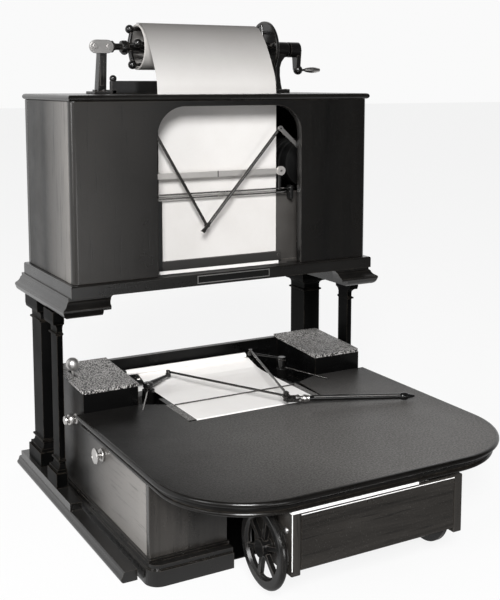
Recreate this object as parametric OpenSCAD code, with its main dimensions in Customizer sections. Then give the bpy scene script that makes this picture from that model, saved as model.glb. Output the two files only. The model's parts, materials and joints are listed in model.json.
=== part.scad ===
// Telewriter: a pencil-and-linkage transmitter under a pen-and-linkage receiver on a moulded stand.
// Millimetres, front towards -Y, origin at the bottom centre of the whole object.

/* [Receiver cabinet] */
// Width of the cabinet over its side boards
cabinet_w = 315; // [290:1:340]
// Depth of the cabinet over its front and back boards
cabinet_d = 134; // [128:1:150]
// Height of the cabinet boards
cabinet_h = 162.5; // [158:0.5:190]
// Thickness of the cabinet boards
board_t = 8; // [6:0.5:9]
// Height of the band under the cabinet
band_h = 11; // [9:0.5:14]
// How far the band stands out from the boards
band_out = 4; // [2:0.5:6]
// Thickness of the cabinet floor inside the band
floor_t = 4; // [3:0.5:5]
// Thickness of the top board
top_t = 5.5; // [4.5:0.5:9]
// How far the top board overhangs the boards
top_out = 2; // [1:0.5:6]
// Width of the arched window
window_w = 154; // [150:0.5:158]
// Sideways shift of the window from the middle
window_x = 2; // [-2:0.5:3]
// Wood left above the window
window_head = 5.5; // [4:0.5:12]
// Radius of the upper window corners
window_r = 28; // [15:1:40]

/* [Stand] */
// Height from the table to the band of the cabinet
stand_h = 200.5; // [190:0.5:230]
// How far the base rails stand out past the cabinet boards
rail_out = 14.5; // [12:0.5:20]
// Width of the base rails
rail_w = 14; // [12:0.5:18]
// How far the rails reach in front of the cabinet
rail_front = 139; // [100:1:150]
// How far the rails reach behind the cabinet front
rail_rear = 146; // [142:1:160]
// Height of the rails
rail_h = 9; // [7:0.5:12]
// Height of the plinth on the rails
plinth_h = 7; // [5:0.5:10]
// Height of the base blocks under the columns
block_h = 14; // [10:0.5:18]
// Height of the cornice that carries the cabinet
cornice_h = 17.5; // [15:0.5:22]
// Width of the rear columns
rear_col_w = 20; // [16:0.5:24]
// Depth of the rear columns
rear_col_d = 28; // [20:0.5:32]
// Width of the front columns
front_col_w = 5.5; // [4:0.5:7]
// Depth of the front columns
front_col_d = 17; // [14:0.5:22]

/* [Transmitter] */
// How far the body reaches in front of the cabinet
body_front = 147; // [140:1:155]
// How far the body reaches behind the cabinet front
body_rear = 83; // [81:0.5:83.5]
// Thickness of the body boards
body_t = 6; // [5:0.5:7]
// Height of the body's own plinth
foot_h = 17; // [12:0.5:22]
// Height of the writing desk's surface
desk_z = 93.4; // [88:0.2:100]
// Thickness of the desk
desk_t = 12.9; // [12:0.1:14]
// How far the desk's edge stands out past the body's sides
desk_out = 7.65; // [5:0.05:9]
// How far the desk reaches in front of the cabinet
desk_front = 251.5; // [248:0.5:260]
// Radius of the desk's front corners
desk_r = 80; // [50:1:100]
// Height of the box sides above the desk at the front
box_rise = 17.6; // [14:0.2:20]
// How much the lids rise towards the back
lid_slope = 4; // [2:0.5:8]
// Thickness of the lids
lid_t = 3; // [2:0.5:6]
// Half width of the well between the boxes
well_half = 97.5; // [95:0.5:100]

/* [Paper] */
// Width of the receiver paper
paper_w = 131; // [125:0.5:132]
// Width of the transmitter paper
slip_w = 126; // [120:0.5:128]
// Sideways shift of the transmitter paper from the middle
slip_x = -5; // [-8:0.5:0]
// Thickness of the paper webs
paper_t = 0.4; // [0.3:0.05:0.6]
// Radius of the paper on the upper reel
reel_r = 24; // [22.5:0.5:26]
// Radius of the fresh paper rolls
roll_r = 20; // [14:0.5:22]

/* [Linkages] */
// Crank length of the transmitter linkage
tx_crank = 37; // [36:0.5:38]
// Arm length of the transmitter linkage
tx_arm = 138; // [136:0.5:140]
// Radius of the rheostat drums beside the transmitter paper
drum_r = 6; // [5:0.5:7]
// Place of the transmitter crank shafts behind the cabinet front
tx_pivot_y = 29; // [27:0.5:31]
// Crank length of the receiver linkage
rx_crank = 55; // [54:0.5:56]
// Arm length of the receiver linkage
rx_arm = 121; // [119:0.5:122]
// Half distance between the receiver crank shafts
rx_pivot_x = 102; // [101:0.5:104]
// Height of the receiver crank shafts above the cabinet boards' foot
rx_pivot_h = 97; // [96:0.5:98]
// Length of the pencil holder
pencil_l = 105; // [90:1:115]
// Radius of the pencil holder
pencil_r = 3.7; // [3:0.1:4]

/* [Reel stand] */
// Height of the reel shaft above the top board
reel_h = 45; // [42:0.5:50]
// Distance of the left reel post's outer face from the middle
post_outer = 107.5; // [105:0.5:110]
// Throw of the reel crank
crank_throw = 21; // [16:0.5:30]
// Radius of the reel's end disc
disc_r = 31; // [28:0.5:34]

/* [Take-up box] */
// Room between the transmitter paper and the left cheek
cheek_gap = 4.5; // [3:0.5:8]
// Thickness of the cheeks
cheek_t = 8; // [6:0.5:9]
// Height of the take-up box above the table
box_lift = 34; // [28:0.5:36]
// Radius of the handwheel
wheel_r = 32; // [28:0.5:36]

/* [Knobs] */
// Radius of the lever's ball
ball_r = 6.3; // [4:0.1:8]
// Radius of the ringed knob
ring_r = 3.6; // [3:0.1:5]
// Radius of the spool knob
spool_r = 6; // [5:0.1:8]

/* [Hidden] */
$fn = 48;
// Running clearance of a shaft in its bore
run = 0.05;
// Gap between pieces that pass each other
gap = 0.3;
y_mid = (rail_rear - desk_front) / 2;
z_boards = stand_h + band_h;
z_top = z_boards + cabinet_h;
z_deck = z_top + top_t;
z_block = rail_h + plinth_h;
z_cornice = stand_h - cornice_h;
z_floor_in = stand_h + floor_t;
board_half = cabinet_w / 2;
rail_outer = board_half + rail_out;
rail_inner = rail_outer - rail_w;
foot_out = 4.7;
foot_gap = 2.45;
body_half = rail_inner - foot_gap - foot_out;
desk_half = body_half + desk_out;
box_half = slip_w / 2 - slip_x + cheek_gap + cheek_t;
desk_under = desk_z - desk_t;
tx_pivot_x = slip_w / 2 - slip_x + drum_r + 1;

// Points of an arc
function arc(cx, cy, r, a0, a1, n = 8) =
    [for (i = [0:n]) let (a = a0 + (a1 - a0) * i / n) [cx + r * cos(a), cy + r * sin(a)]];

// The point at distances r1 from p and r2 from q, on the side that s names
function meet(p, q, r1, r2, s) =
    let (d = norm(q - p), u = (q - p) / d, a = (r1 * r1 - r2 * r2 + d * d) / (2 * d), h = sqrt(r1 * r1 - a * a))
    [p[0] + a * u[0] - s * h * u[1], p[1] + a * u[1] + s * h * u[0]];

// Unit normal of a path at point i
function path_normal(p, i) =
    let (a = p[max(i - 1, 0)], b = p[min(i + 1, len(p) - 1)], d = (b - a) / norm(b - a)) [-d[1], d[0]];

// Outline of a web of thickness t whose lower face follows the path
function web(p, t) = concat(p, [for (i = [len(p) - 1:-1:0]) p[i] + t * path_normal(p, i)]);

// Everything is laid out from the cabinet front and then centred on the whole depth
module placed() {
    translate([0, -y_mid, 0]) children();
}

module on_side(side) {
    if (side > 0) children();
    else mirror([1, 0, 0]) children();
}

// Extrudes an outline in X and Z along Y
module along_y(y0, y1) {
    translate([0, y1, 0]) rotate([90, 0, 0]) linear_extrude(y1 - y0) children();
}

// Extrudes an outline in Y and Z along X
module along_x(x0, x1) {
    translate([x0, 0, 0]) rotate([90, 0, 90]) linear_extrude(x1 - x0) children();
}

module block(p, q) {
    translate(p) cube(q - p);
}

module rod_x(x0, x1, y, z, r) {
    translate([x0, y, z]) rotate([0, 90, 0]) cylinder(h = x1 - x0, r = r);
}

module rod_y(y0, y1, x, z, r) {
    translate([x, y0, z]) rotate([-90, 0, 0]) cylinder(h = y1 - y0, r = r);
}

module rod_z(z0, z1, x, y, r) {
    translate([x, y, z0]) cylinder(h = z1 - z0, r = r);
}

// Straight round rod from p to q
module rod(p, q, r) {
    d = q - p;
    translate(p)
        rotate([0, acos(d[2] / norm(d)), atan2(d[1], d[0])])
            cylinder(h = norm(d), r = r);
}

// Stand

// Moulded rail section: flat back, rounded outer nose, a small bead on top
rail_section = concat(
    [[rail_inner, 0], [rail_outer - rail_h * 0.3, 0]],
    arc(rail_outer - rail_h * 0.3, rail_h * 0.3, rail_h * 0.3, -90, 60, 8),
    arc(rail_outer - rail_h * 0.45, rail_h * 0.78, rail_h * 0.22, 0, 90, 6),
    [[rail_inner, rail_h]]
);
plinth_outer = rail_outer - 3;
plinth_front = 10.7;
plinth_rear = rail_rear - 6;
rear_y = 104.5;
rear_x = board_half - 7;
front_y = 40.5;
front_x = rail_inner + 3;
rear_inner = rear_x - rear_col_w / 2 - 6;

module base_rail(side) {
    color("#2a2220") placed() on_side(side) {
        along_y(-rail_front, rail_rear) polygon(rail_section);
        block([rail_inner, -plinth_front, rail_h], [plinth_outer, plinth_rear, z_block]);
        block([rear_inner - 1, body_rear, 0], [rail_inner, plinth_rear, z_block]);
    }
}

// Half profile of a column as outward offset and height
function column_profile(top) = let (b = z_block + block_h) concat(
    [[5, z_block], [5, b], [3.4, b]],
    arc(3.4, b + 6, 3, -90, -180, 6),
    [[0, b + 7], [0, b + 9], [1.6, b + 9.8], [1.6, b + 11.2], [0, b + 12]],
    [[0, top - 23.5], [1.6, top - 22.7], [1.6, top - 21.3], [0, top - 20.5], [0, top - 17]],
    arc(4.4, top - 16.6, 4.4, 180, 90, 6),
    [[5, top - 9], [5, top]]
);

// Square column whose moulding is mitred round all four sides
module column(x, y, w, d, inner_max) {
    p = column_profile(z_cornice);
    xs = concat([for (q = p) [x + w / 2 + q[0], q[1]]],
        [for (i = [len(p) - 1:-1:0]) [x - w / 2 - min(p[i][0], inner_max), p[i][1]]]);
    ys = concat([for (q = p) [y + d / 2 + q[0], q[1]]],
        [for (i = [len(p) - 1:-1:0]) [y - d / 2 - p[i][0], p[i][1]]]);
    intersection() {
        along_y(y - d, y + d) polygon(xs);
        along_x(x - 2 * w - 8, x + 2 * w + 8) polygon(ys);
    }
}

module columns_front() {
    color("#2a2220") placed() for (side = [-1, 1]) on_side(side)
        column(front_x, front_y, front_col_w, front_col_d, front_x - front_col_w / 2 - rail_inner);
}

module columns_rear() {
    color("#2a2220") placed() for (side = [-1, 1]) on_side(side)
        column(rear_x, rear_y, rear_col_w, rear_col_d, 5);
}

// Outward profile of the cornice, measured from the cabinet boards
function cornice_profile() = concat(
    [[5.5, z_cornice]],
    arc(5.5, z_cornice + 5.5, 6.2, -75, -15, 6),
    [[12.3, z_cornice + 6], [12.3, z_cornice + 7.6]],
    arc(13.2, z_cornice + 14.8, 6.6, 250, 195, 7),
    [[5.2, z_cornice + 14.6], [5.2, stand_h]]
);
beam_inner = board_half - 25.5;
bracket_inner = board_half - 32.5;
bracket_cove = 7.5;
// Length of an outline's extrusion past the part it is cut to
reach = 30;
bracket_depth = 9;
bracket_foot = stand_h - 12.5;

module cornice(side) {
    p = cornice_profile();
    color("#332a27") placed() on_side(side) {
        intersection() {
            along_y(-reach, cabinet_d + 9)
                polygon(concat([for (q = p) [board_half + q[0], q[1]]], [[beam_inner, stand_h], [beam_inner, z_cornice]]));
            along_x(beam_inner, rail_outer + 10)
                polygon(concat([for (q = p) [-q[0] + 5.5, q[1]]], [[cabinet_d + 9, stand_h], [cabinet_d + 9, z_cornice]]));
        }
        intersection() {
            along_y(-reach, bracket_depth) polygon(concat(
                [for (i = [0:8]) let (a = i * 11.25)
                    [bracket_inner - bracket_cove * (1 - cos(a)), bracket_foot + (stand_h - bracket_foot) * sin(a)]],
                [[beam_inner, stand_h], [beam_inner, bracket_foot]]
            ));
            along_x(bracket_inner - reach, beam_inner)
                polygon(concat([for (q = p) [-q[0] + 5.5, q[1]]], [[bracket_depth, stand_h], [bracket_depth, z_cornice]]));
        }
    }
}

// Receiver cabinet

band_half = board_half + band_out;
band_front = -band_out - 1;
band_rear = cabinet_d + band_out;
ring = 14;

module cabinet_base() {
    color("#241d1b") placed() difference() {
        intersection() {
            along_y(band_front, band_rear) polygon(concat(
                [[-band_half, stand_h], [band_half, stand_h]],
                arc(band_half - 1.5, z_boards - 1.5, 1.5, 0, 90, 4),
                arc(-band_half + 1.5, z_boards - 1.5, 1.5, 90, 180, 4)
            ));
            along_x(-band_half, band_half) polygon(concat(
                [[band_front, stand_h], [band_rear, stand_h], [band_rear, z_boards]],
                arc(band_front + 1.5, z_boards - 1.5, 1.5, 90, 180, 4)
            ));
        }
        block([-board_half + ring, ring, stand_h - 1], [board_half - ring, cabinet_d - ring, z_boards + 1]);
        block([-window_w / 2 + 8, 9, z_floor_in], [window_w / 2 - 8, ring + 1, z_boards + 1]);
    }
}

module cabinet_floor() {
    color("#3a302c") placed()
        block([-board_half + ring, ring, stand_h], [board_half - ring, cabinet_d - ring, z_floor_in]);
}

module cabinet_side(side) {
    color("#4a3f3a") placed() on_side(side)
        block([board_half - board_t, board_t, z_boards], [board_half, cabinet_d - board_t, z_top]);
}

corner_r = 5;

// Front board with rounded corners and its arched window, open down to the band
module cabinet_front() {
    half = window_w / 2;
    head = z_top - window_head - window_r;
    color("#332a27") placed() difference() {
        translate([0, 0, z_boards]) linear_extrude(cabinet_h) polygon(concat(
            [[board_half, board_t], [-board_half, board_t]],
            arc(-board_half + corner_r, corner_r, corner_r, 180, 270, 6),
            arc(board_half - corner_r, corner_r, corner_r, 270, 360, 6)
        ));
        translate([window_x, 0, 0]) along_y(-1, board_t + 1) polygon(concat(
            [[-half, z_boards - 1], [half, z_boards - 1]],
            arc(half - window_r, head, window_r, 0, 90, 12),
            arc(-half + window_r, head, window_r, 90, 180, 12)
        ));
    }
}

module cabinet_back() {
    inset = 22;
    color("#332a27") placed() difference() {
        block([-board_half, cabinet_d - board_t, z_boards], [board_half, cabinet_d, z_top]);
        block([-board_half + inset, cabinet_d - 2, z_boards + inset],
            [board_half - inset, cabinet_d + 1, z_top - inset]);
    }
}

slot_y0 = 20.5;
slot_y1 = 31;

// Top board with rounded edges and the slot that the paper leaves by
module cabinet_top() {
    half = board_half + top_out;
    r = top_t / 2;
    color("#241d1b") placed() difference() {
        intersection() {
            along_y(-top_out, cabinet_d + top_out) polygon(concat(
                arc(half - r, z_top + r, r, -90, 90, 8), arc(-half + r, z_top + r, r, 90, 270, 8)
            ));
            along_x(-half, half) polygon(concat(
                arc(cabinet_d + top_out - r, z_top + r, r, -90, 90, 8), arc(-top_out + r, z_top + r, r, 90, 270, 8)
            ));
        }
        block([-paper_w / 2 - 2, slot_y0, z_top - 1], [paper_w / 2 + 2, slot_y1, z_deck + 1]);
    }
}

// Receiver works

web_y = 26;
platen_y = web_y + 1;
motor_r = 24;
platen_half = rx_pivot_x - 11;
platen_t = 4;
platen_top = z_boards + rx_pivot_h - motor_r - 3.5;
clamp_z0 = z_boards - 0.3;
clamp_z1 = z_boards + 9.5;
clamp_half = paper_w / 2 + 4.5;
strip_x0 = -paper_w / 2;
strip_w = 4.5;

// Platen behind the paper, the clamping bar that holds the web at its foot and a strip along the web's left edge
module receiver_platen() {
    color("#6b5d52") placed() {
        block([-platen_half, platen_y, z_boards], [platen_half, platen_y + platen_t, platen_top]);
        for (side = [-1, 1]) on_side(side) {
            block([paper_w / 2 + 2, platen_y, z_floor_in], [platen_half, platen_y + platen_t, z_boards]);
            block([paper_w / 2 + 1, web_y - 0.5, clamp_z0], [clamp_half, platen_y, clamp_z1]);
        }
        block([-clamp_half, web_y - 3.5, clamp_z0], [clamp_half, web_y - 0.5, clamp_z1]);
        block([strip_x0, web_y - 1.8, clamp_z1], [strip_x0 + strip_w, web_y - 0.6, guide_z - 2]);
    }
}

lift_y = 21;
lift_z = platen_top + 4;
guide_z = platen_top;
bar_z = lift_z + 18;
bar_half = platen_half - 13;
boss_x = paper_w / 2 + 1;
shaft_r = 0.9;
ear_x0 = bar_half + 0.5;
ear_x1 = ear_x0 + 3;

// Two ears on the platen's ends, with the lower guide rod between them
module receiver_guides() {
    color("#8d8d88") placed() {
        difference() {
            union() for (side = [-1, 1]) on_side(side)
                block([ear_x0, lift_y - 2.5, guide_z - 7], [ear_x1, platen_y, lift_z + 2.5]);
            rod_x(-ear_x1 - 1, ear_x1 + 1, lift_y, lift_z, shaft_r + run);
        }
        rod_x(-ear_x0, ear_x0, lift_y, guide_z, 0.7);
    }
}

supply_y = 72;
supply_z = z_floor_in + 26;
deck_rise = 1.2;

// Centre line of the receiver web: off the supply roll, round the platen's foot and up to the reel
reel_y = 76;
reel_z = z_deck + reel_h;
leave_r = reel_r + gap + paper_t;
leave_p = [web_y, z_deck + deck_rise];
leave_d = [reel_y, reel_z] - leave_p;
leave_a = atan2(leave_d[1], leave_d[0]) + asin(leave_r / norm(leave_d));
leave_l = sqrt(norm(leave_d) * norm(leave_d) - leave_r * leave_r);
turn_r = 3;
turn_z = z_floor_in + 1;

module receiver_paper() {
    path = concat(
        [[supply_y, turn_z]],
        arc(web_y + turn_r, turn_z + turn_r, turn_r, -90, -180, 6),
        [[web_y, z_top], leave_p, leave_p + leave_l * [cos(leave_a), sin(leave_a)]]
    );
    color("#f2efe6") placed() along_x(-paper_w / 2, paper_w / 2) polygon(web(path, -paper_t));
}

spindle_r = 2;
spindle_out = 8;
supply_r = supply_z - turn_z - paper_t - gap;

module supply_roll() {
    color("#efece2") placed() {
        rod_x(-paper_w / 2, paper_w / 2, supply_y, supply_z, supply_r);
        rod_x(-paper_w / 2 - spindle_out, paper_w / 2 + spindle_out, supply_y, supply_z, spindle_r);
    }
}

module supply_brackets() {
    color("#2c2c2c") placed() for (side = [-1, 1]) on_side(side) difference() {
        union() {
            along_x(paper_w / 2 + 3, paper_w / 2 + 6) polygon(concat(
                [[supply_y - 14, z_floor_in], [supply_y + 14, z_floor_in]],
                arc(supply_y, supply_z, 6, 20, 160, 8)
            ));
            block([paper_w / 2 + 3, supply_y - 14, z_floor_in], [paper_w / 2 + 14, supply_y + 14, z_floor_in + 2.5]);
        }
        rod_x(paper_w / 2 + 2, paper_w / 2 + 7, supply_y, supply_z, spindle_r + run);
    }
}

rx_z = z_boards + rx_pivot_h;
rx_pen = [-18.5, z_boards + 43];
rx_elbow_l = meet([-rx_pivot_x, rx_z], rx_pen, rx_crank, rx_arm, 1);
rx_elbow_r = meet([rx_pivot_x, rx_z], rx_pen, rx_crank, rx_arm, -1);
motor_y0 = 28;
motor_y1 = 72;
rx_shaft_r = 2;

// Two iron-clad moving-coil motors, one on each side board, with their crank bearings, and the lifter magnet
module receiver_motors() {
    color("#1f2326") placed() lifter_magnet();
    color("#1f2326") placed() for (side = [-1, 1]) on_side(side) difference() {
        union() {
            rod_y(motor_y0, motor_y1, rx_pivot_x, rx_z, motor_r);
            rod_y(motor_y0 - 3, motor_y0, rx_pivot_x, rx_z, 7);
            block([rx_pivot_x + motor_r - 6, motor_y0 + 8, rx_z - 13], [board_half - board_t, motor_y1 - 8, rx_z + 13]);
        }
        rod_y(motor_y0 - 4, motor_y0 + 14, rx_pivot_x, rx_z, rx_shaft_r + run);
        for (y = [motor_y0 + 12:10:motor_y1 - 6]) difference() {
            rod_y(y, y + 3, rx_pivot_x, rx_z, motor_r + 1);
            rod_y(y - 1, y + 4, rx_pivot_x, rx_z, motor_r - 2);
            block([rx_pivot_x + motor_r - 7, motor_y0, rx_z - 14], [board_half, motor_y1, rx_z + 14]);
        }
    }
}

magnet_y = platen_y + platen_t + 9;
coil_l = 6;

// Two coils on an iron foot behind the platen, which draw the lifter
module lifter_magnet() {
    x = paper_w / 2 + 6;
    block([x - 5, magnet_y, z_floor_in], [x + 5, magnet_y + 5, lift_z + 12]);
    for (z = [lift_z - 6, lift_z + 7]) {
        rod_y(magnet_y - coil_l, magnet_y, x, z, 5);
        rod_y(magnet_y - coil_l - 1.5, magnet_y - coil_l, x, z, 2.2);
    }
}

// Flat bar across the paper that pushes both pen arms off it
module lifter_bar() {
    color("#9a8f80") placed() difference() {
        union() {
            block([-bar_half, lift_y - 3.7, bar_z - 2.7], [boss_x, lift_y - 2.2, bar_z + 2.7]);
            rod_y(lift_y - 4.2, lift_y - 1.5, boss_x, bar_z, 4.6);
        }
        rod_y(lift_y - 5, lift_y, boss_x, bar_z, 1.2);
    }
}

module lifter_shaft() {
    color("#3c3c3c") placed() {
        rod_x(-ear_x1 - 2, ear_x1 + 2.5, lift_y, lift_z, shaft_r);
        block([boss_x - 1.2, lift_y - 1.5, lift_z - 1.5], [boss_x + 1.2, lift_y + 0.6, bar_z + 3]);
        block([-bar_half, lift_y - 2.2, lift_z - 1.5], [-bar_half + 3, lift_y + 0.6, bar_z + 2.7]);
    }
}

rx_crank_y = board_t + 1.2;
rx_crank_t = 1.5;
rx_arm_r = 1;

module receiver_crank(side, elbow) {
    y1 = rx_crank_y + rx_crank_t;
    p = [side * rx_pivot_x, rx_z];
    d = elbow - p;
    color("#b8b5ae") placed() {
        difference() {
            union() {
                translate([p[0], 0, p[1]]) rotate([0, -atan2(d[1], d[0]), 0])
                    block([0, rx_crank_y, -1.9], [norm(d), y1, 1.9]);
                rod_y(rx_crank_y, y1, p[0], p[1], 4);
                rod_y(rx_crank_y, y1, elbow[0], elbow[1], 2.6);
            }
            rod_y(rx_crank_y - 1, y1 + 1, elbow[0], elbow[1], 0.8 + run);
        }
        rod_y(y1, motor_y0 + 12, p[0], p[1], rx_shaft_r);
    }
}

module receiver_arm(elbow, y, reach) {
    u = (rx_pen - elbow) / rx_arm;
    tip = elbow + u * reach;
    color("#8f8b84") placed() {
        rod([elbow[0], y, elbow[1]], [tip[0], y, tip[1]], rx_arm_r);
        rod_y(y - rx_arm_r, y + rx_arm_r, elbow[0], elbow[1], 2);
        rod_y(rx_crank_y, y, elbow[0], elbow[1], 0.8);
    }
}

// The left arm ends in an open eye round the pen pivot, where the linkage is opened
module receiver_arm_left() {
    difference() {
        union() {
            receiver_arm(rx_elbow_l, left_arm_y, rx_arm);
            color("#8f8b84") placed() rod_y(left_arm_y - rx_arm_r, left_arm_y + rx_arm_r, rx_pen[0], rx_pen[1], 3.2);
        }
        placed() rod_y(left_arm_y - 2, left_arm_y + 2, rx_pen[0], rx_pen[1], 2.1);
    }
}
right_arm_y = rx_crank_y + rx_crank_t + rx_arm_r + gap;
left_arm_y = right_arm_y + 2 * rx_arm_r + gap;
pen_reach = 6;
pen_r = 0.8;

// The right arm carries the pivot pin and, past it, the pen
module receiver_arm_right() {
    u = (rx_pen - rx_elbow_r) / rx_arm;
    pen = rx_pen + u * pen_reach;
    receiver_arm(rx_elbow_r, right_arm_y, rx_arm + pen_reach);
    color("#8f8b84") placed() {
        rod_y(right_arm_y, left_arm_y + rx_arm_r + 0.5, rx_pen[0], rx_pen[1], 0.8);
        rod_y(right_arm_y - 1, web_y - 3.5, pen[0], pen[1], pen_r);
        translate([pen[0], web_y - 3.5, pen[1]]) rotate([-90, 0, 0]) cylinder(h = 3, r1 = pen_r, r2 = 0.3);
    }
}

// Upper reel

hub_x = -paper_w / 2 - 5;
disc_x = paper_w / 2 + 13;
post_t = 13.8;
post_bore = 2.5;
post_foot = 5.5;
bar_rise = 13.4;
right_x0 = disc_x + 12.5;
right_x1 = right_x0 + 13.6;
barrel_x0 = disc_x + 6;
barrel_x1 = post_outer + 1.1;
barrel_r = 8;
foot_reach = 5.1;

// One casting: a straight post on the left, a tapered one with its bearing barrel on the right, and a low bar
module reel_frame() {
    color("#232323") placed() difference() {
        union() {
            along_x(-post_outer, -post_outer + post_t) polygon(concat(
                [[reel_y - 13, z_deck], [reel_y + 11, z_deck]], arc(reel_y, reel_z, 7, 5, 90, 8),
                [[reel_y - 7, reel_z + 7], [reel_y - 7, reel_z - 8]]
            ));
            intersection() {
                along_x(right_x0, right_x1) polygon(concat(
                    [[reel_y - 13, z_deck], [reel_y + 11, z_deck]], arc(reel_y, reel_z, 7, 5, 175, 12)
                ));
                along_y(reel_y - 20, reel_y + 20) polygon([
                    [right_x0, z_deck], [right_x1, z_deck], [right_x1, z_deck + post_foot],
                    [right_x1 - 6, reel_z - 15.5], [right_x1 - 6, reel_z + 8], [right_x0, reel_z + 8]
                ]);
            }
            rod_x(barrel_x0, barrel_x1, reel_y, reel_z, barrel_r);
            block([-post_outer - foot_reach - 1.8, reel_y - 26, z_deck], [-post_outer + post_t, reel_y + 14, z_deck + post_foot]);
            block([right_x0, reel_y - 26, z_deck], [post_outer + foot_reach, reel_y + 14, z_deck + post_foot]);
            block([-post_outer + 2, reel_y - 26, z_deck], [right_x1 - 2, reel_y - 18, z_deck + bar_rise]);
            translate([-post_outer + 10.5, reel_y - 22, z_deck + bar_rise + 2]) sphere(r = 3.6);
        }
        rod_x(-post_outer - 1, barrel_x1 + 1, reel_y, reel_z, post_bore + run);
        block([-post_outer - 1, reel_y - 6, z_deck + post_foot], [-post_outer + 2.5, reel_y + 4, reel_z - 12]);
    }
}

// Plate screwed over the left bearing
module bearing_cap() {
    x0 = -post_outer - 10.8;
    x1 = -post_outer + 17.1;
    r = 6.6;
    z = reel_z + 0.8;
    color("#b9b6ac") placed() difference() {
        union() {
            block([x0 + r, reel_y - 12, z - r], [x1 - r, reel_y - 7, z + r]);
            rod_y(reel_y - 12, reel_y - 7, x0 + r, z, r);
            rod_y(reel_y - 12, reel_y - 7, x1 - r, z, r);
        }
        for (x = [x0 + 5, x1 - 5]) rod_y(reel_y - 13, reel_y - 11, x, z, 2.4);
    }
}

arm_r = reel_r - 3.2;

// Shaft, hub, four-armed spider with its ball-ended rods, and the end disc
module paper_reel() {
    color("#2b2b2b") placed() translate([0, reel_y, reel_z]) {
        rod_x(-post_outer - 2, crank_x, 0, 0, post_bore);
        rod_x(hub_x - 5, hub_x + 4, 0, 0, 5.5);
        rod_x(-post_outer + post_t + 2, -post_outer + post_t + 8, 0, 0, 6.2);
        for (a = [80:90:350]) rotate([a, 0, 0]) {
            block([hub_x - 2, -1.8, 0], [hub_x + 2, 1.8, arm_r]);
            rod_x(hub_x - 2, disc_x, 0, arm_r, 1.7);
            translate([hub_x - 4, 0, arm_r]) sphere(r = 4);
        }
        difference() {
            rod_x(disc_x, disc_x + 3.5, 0, 0, disc_r);
            rod_x(disc_x - 1, disc_x + 1, 0, 0, disc_r - 3);
        }
        rod_x(disc_x, disc_x + 3.5, 0, 0, 7);
        rod_x(disc_x + 0.5, disc_x + 1.5, 0, 0, arm_r + 2.5);
        rod_x(disc_x + 3, barrel_x0 - 1, 0, 0, 5);
    }
}

module reel_paper() {
    color("#f2efe6") placed() difference() {
        rod_x(-paper_w / 2, paper_w / 2, reel_y, reel_z, reel_r);
        rod_x(-paper_w / 2 - 1, paper_w / 2 + 1, reel_y, reel_z, arm_r + 1.8);
    }
}

crank_x = barrel_x1 + 0.6;
crank_arm_x = crank_x + 8.3;
crank_t = 5;
handle_x = crank_arm_x + 12.5;
handle_l = 18.5;
pin_r = 1.2;

module reel_crank() {
    color("#1d1d1d") placed() translate([0, reel_y, reel_z]) {
        rod_x(crank_x, crank_arm_x + 3.5, 0, 0, 8);
        along_x(crank_arm_x, crank_arm_x + crank_t) polygon([
            [-6, 0], [-3.5, -crank_throw], [3.5, -crank_throw], [6, 0]
        ]);
        translate([crank_arm_x + crank_t - 0.8, 0, -crank_throw]) sphere(r = 5);
        rod_x(crank_arm_x + 1, handle_x + handle_l + 0.2, 0, -crank_throw, pin_r);
    }
}

// Egg-shaped handle, free on its pin
module crank_handle() {
    egg = concat([[pin_r + run, 0], [1.8, 0]],
        [for (i = [1:12]) let (t = i / 13) [1.8 + 1.9 * sin(180 * pow(t, 0.8)) * (0.4 + 0.6 * t), handle_l * t]],
        [[1.9, handle_l], [pin_r + run, handle_l]]);
    color("#c9c6bd") placed()
        translate([handle_x, reel_y, reel_z - crank_throw]) rotate([0, 90, 0]) rotate_extrude() polygon(egg);
}

// Transmitter body

foot_front = body_front + 12;
foot_r = 12;
bay_half = box_half + 1.5;
bay_back = 76;
foot_half = body_half + foot_out;

bead_out = 3.2;
bead_h = 2.4;

// Moulded plinth round the body, cut away in front for the take-up reel, with a strip at the boards' foot
module transmitter_plinth() {
    color("#2a2220") placed() {
        difference() {
            union() {
                linear_extrude(foot_h - 4) foot_outline(0);
                translate([0, 0, foot_h - 4]) linear_extrude(4) foot_outline(2);
            }
            block([-bay_half, -foot_front - 1, -1], [bay_half, -bay_back, foot_h + 1]);
            block([-bay_half, -bay_back - 1, -1], [bay_half, body_rear - 16, foot_h + 1]);
        }
        for (side = [-1, 1]) on_side(side) {
            block([body_half, -body_front - bead_out, foot_h], [body_half + bead_out - 1, body_rear, foot_h + bead_h]);
            block([bay_half, -body_front - bead_out, foot_h], [body_half, -body_front, foot_h + bead_h]);
        }
    }
}

module foot_outline(d) {
    polygon(concat(
        [[foot_half - d, body_rear], [-foot_half + d, body_rear]],
        arc(-foot_half + foot_r, -foot_front + foot_r, foot_r - d, 180, 270, 8),
        arc(foot_half - foot_r, -foot_front + foot_r, foot_r - d, 270, 360, 8)
    ));
}

lid_z0 = desk_z + box_rise;
function lid_z(y) = lid_z0 + lid_slope * y / body_rear;

module body_side(side) {
    color("#4a3f3a") placed() on_side(side) difference() {
        along_x(body_half - body_t, body_half) polygon([
            [-body_front + body_t, foot_h], [body_rear, foot_h], [body_rear, lid_z(body_rear)],
            [body_t, lid_z(body_t)], [body_t, desk_under], [-body_front + body_t, desk_under]
        ]);
        if (side < 0) {
            rod_x(body_half - body_t - 1, body_half + 1, ring_y, ring_z, knob_stem_r + run);
            rod_x(body_half - body_t - 1, body_half + 1, spool_y, spool_z, knob_stem_r + run);
        }
    }
}

// Two front boards and the two boards beside the take-up bay
module body_front_boards() {
    color("#2f2724") placed() for (side = [-1, 1]) on_side(side) {
        block([bay_half, -body_front, foot_h], [body_half, -body_front + body_t, desk_under]);
        block([bay_half, -body_front + body_t, foot_h], [bay_half + body_t, -bay_back, desk_under]);
    }
}

wall_rise = 22.8;

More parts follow.
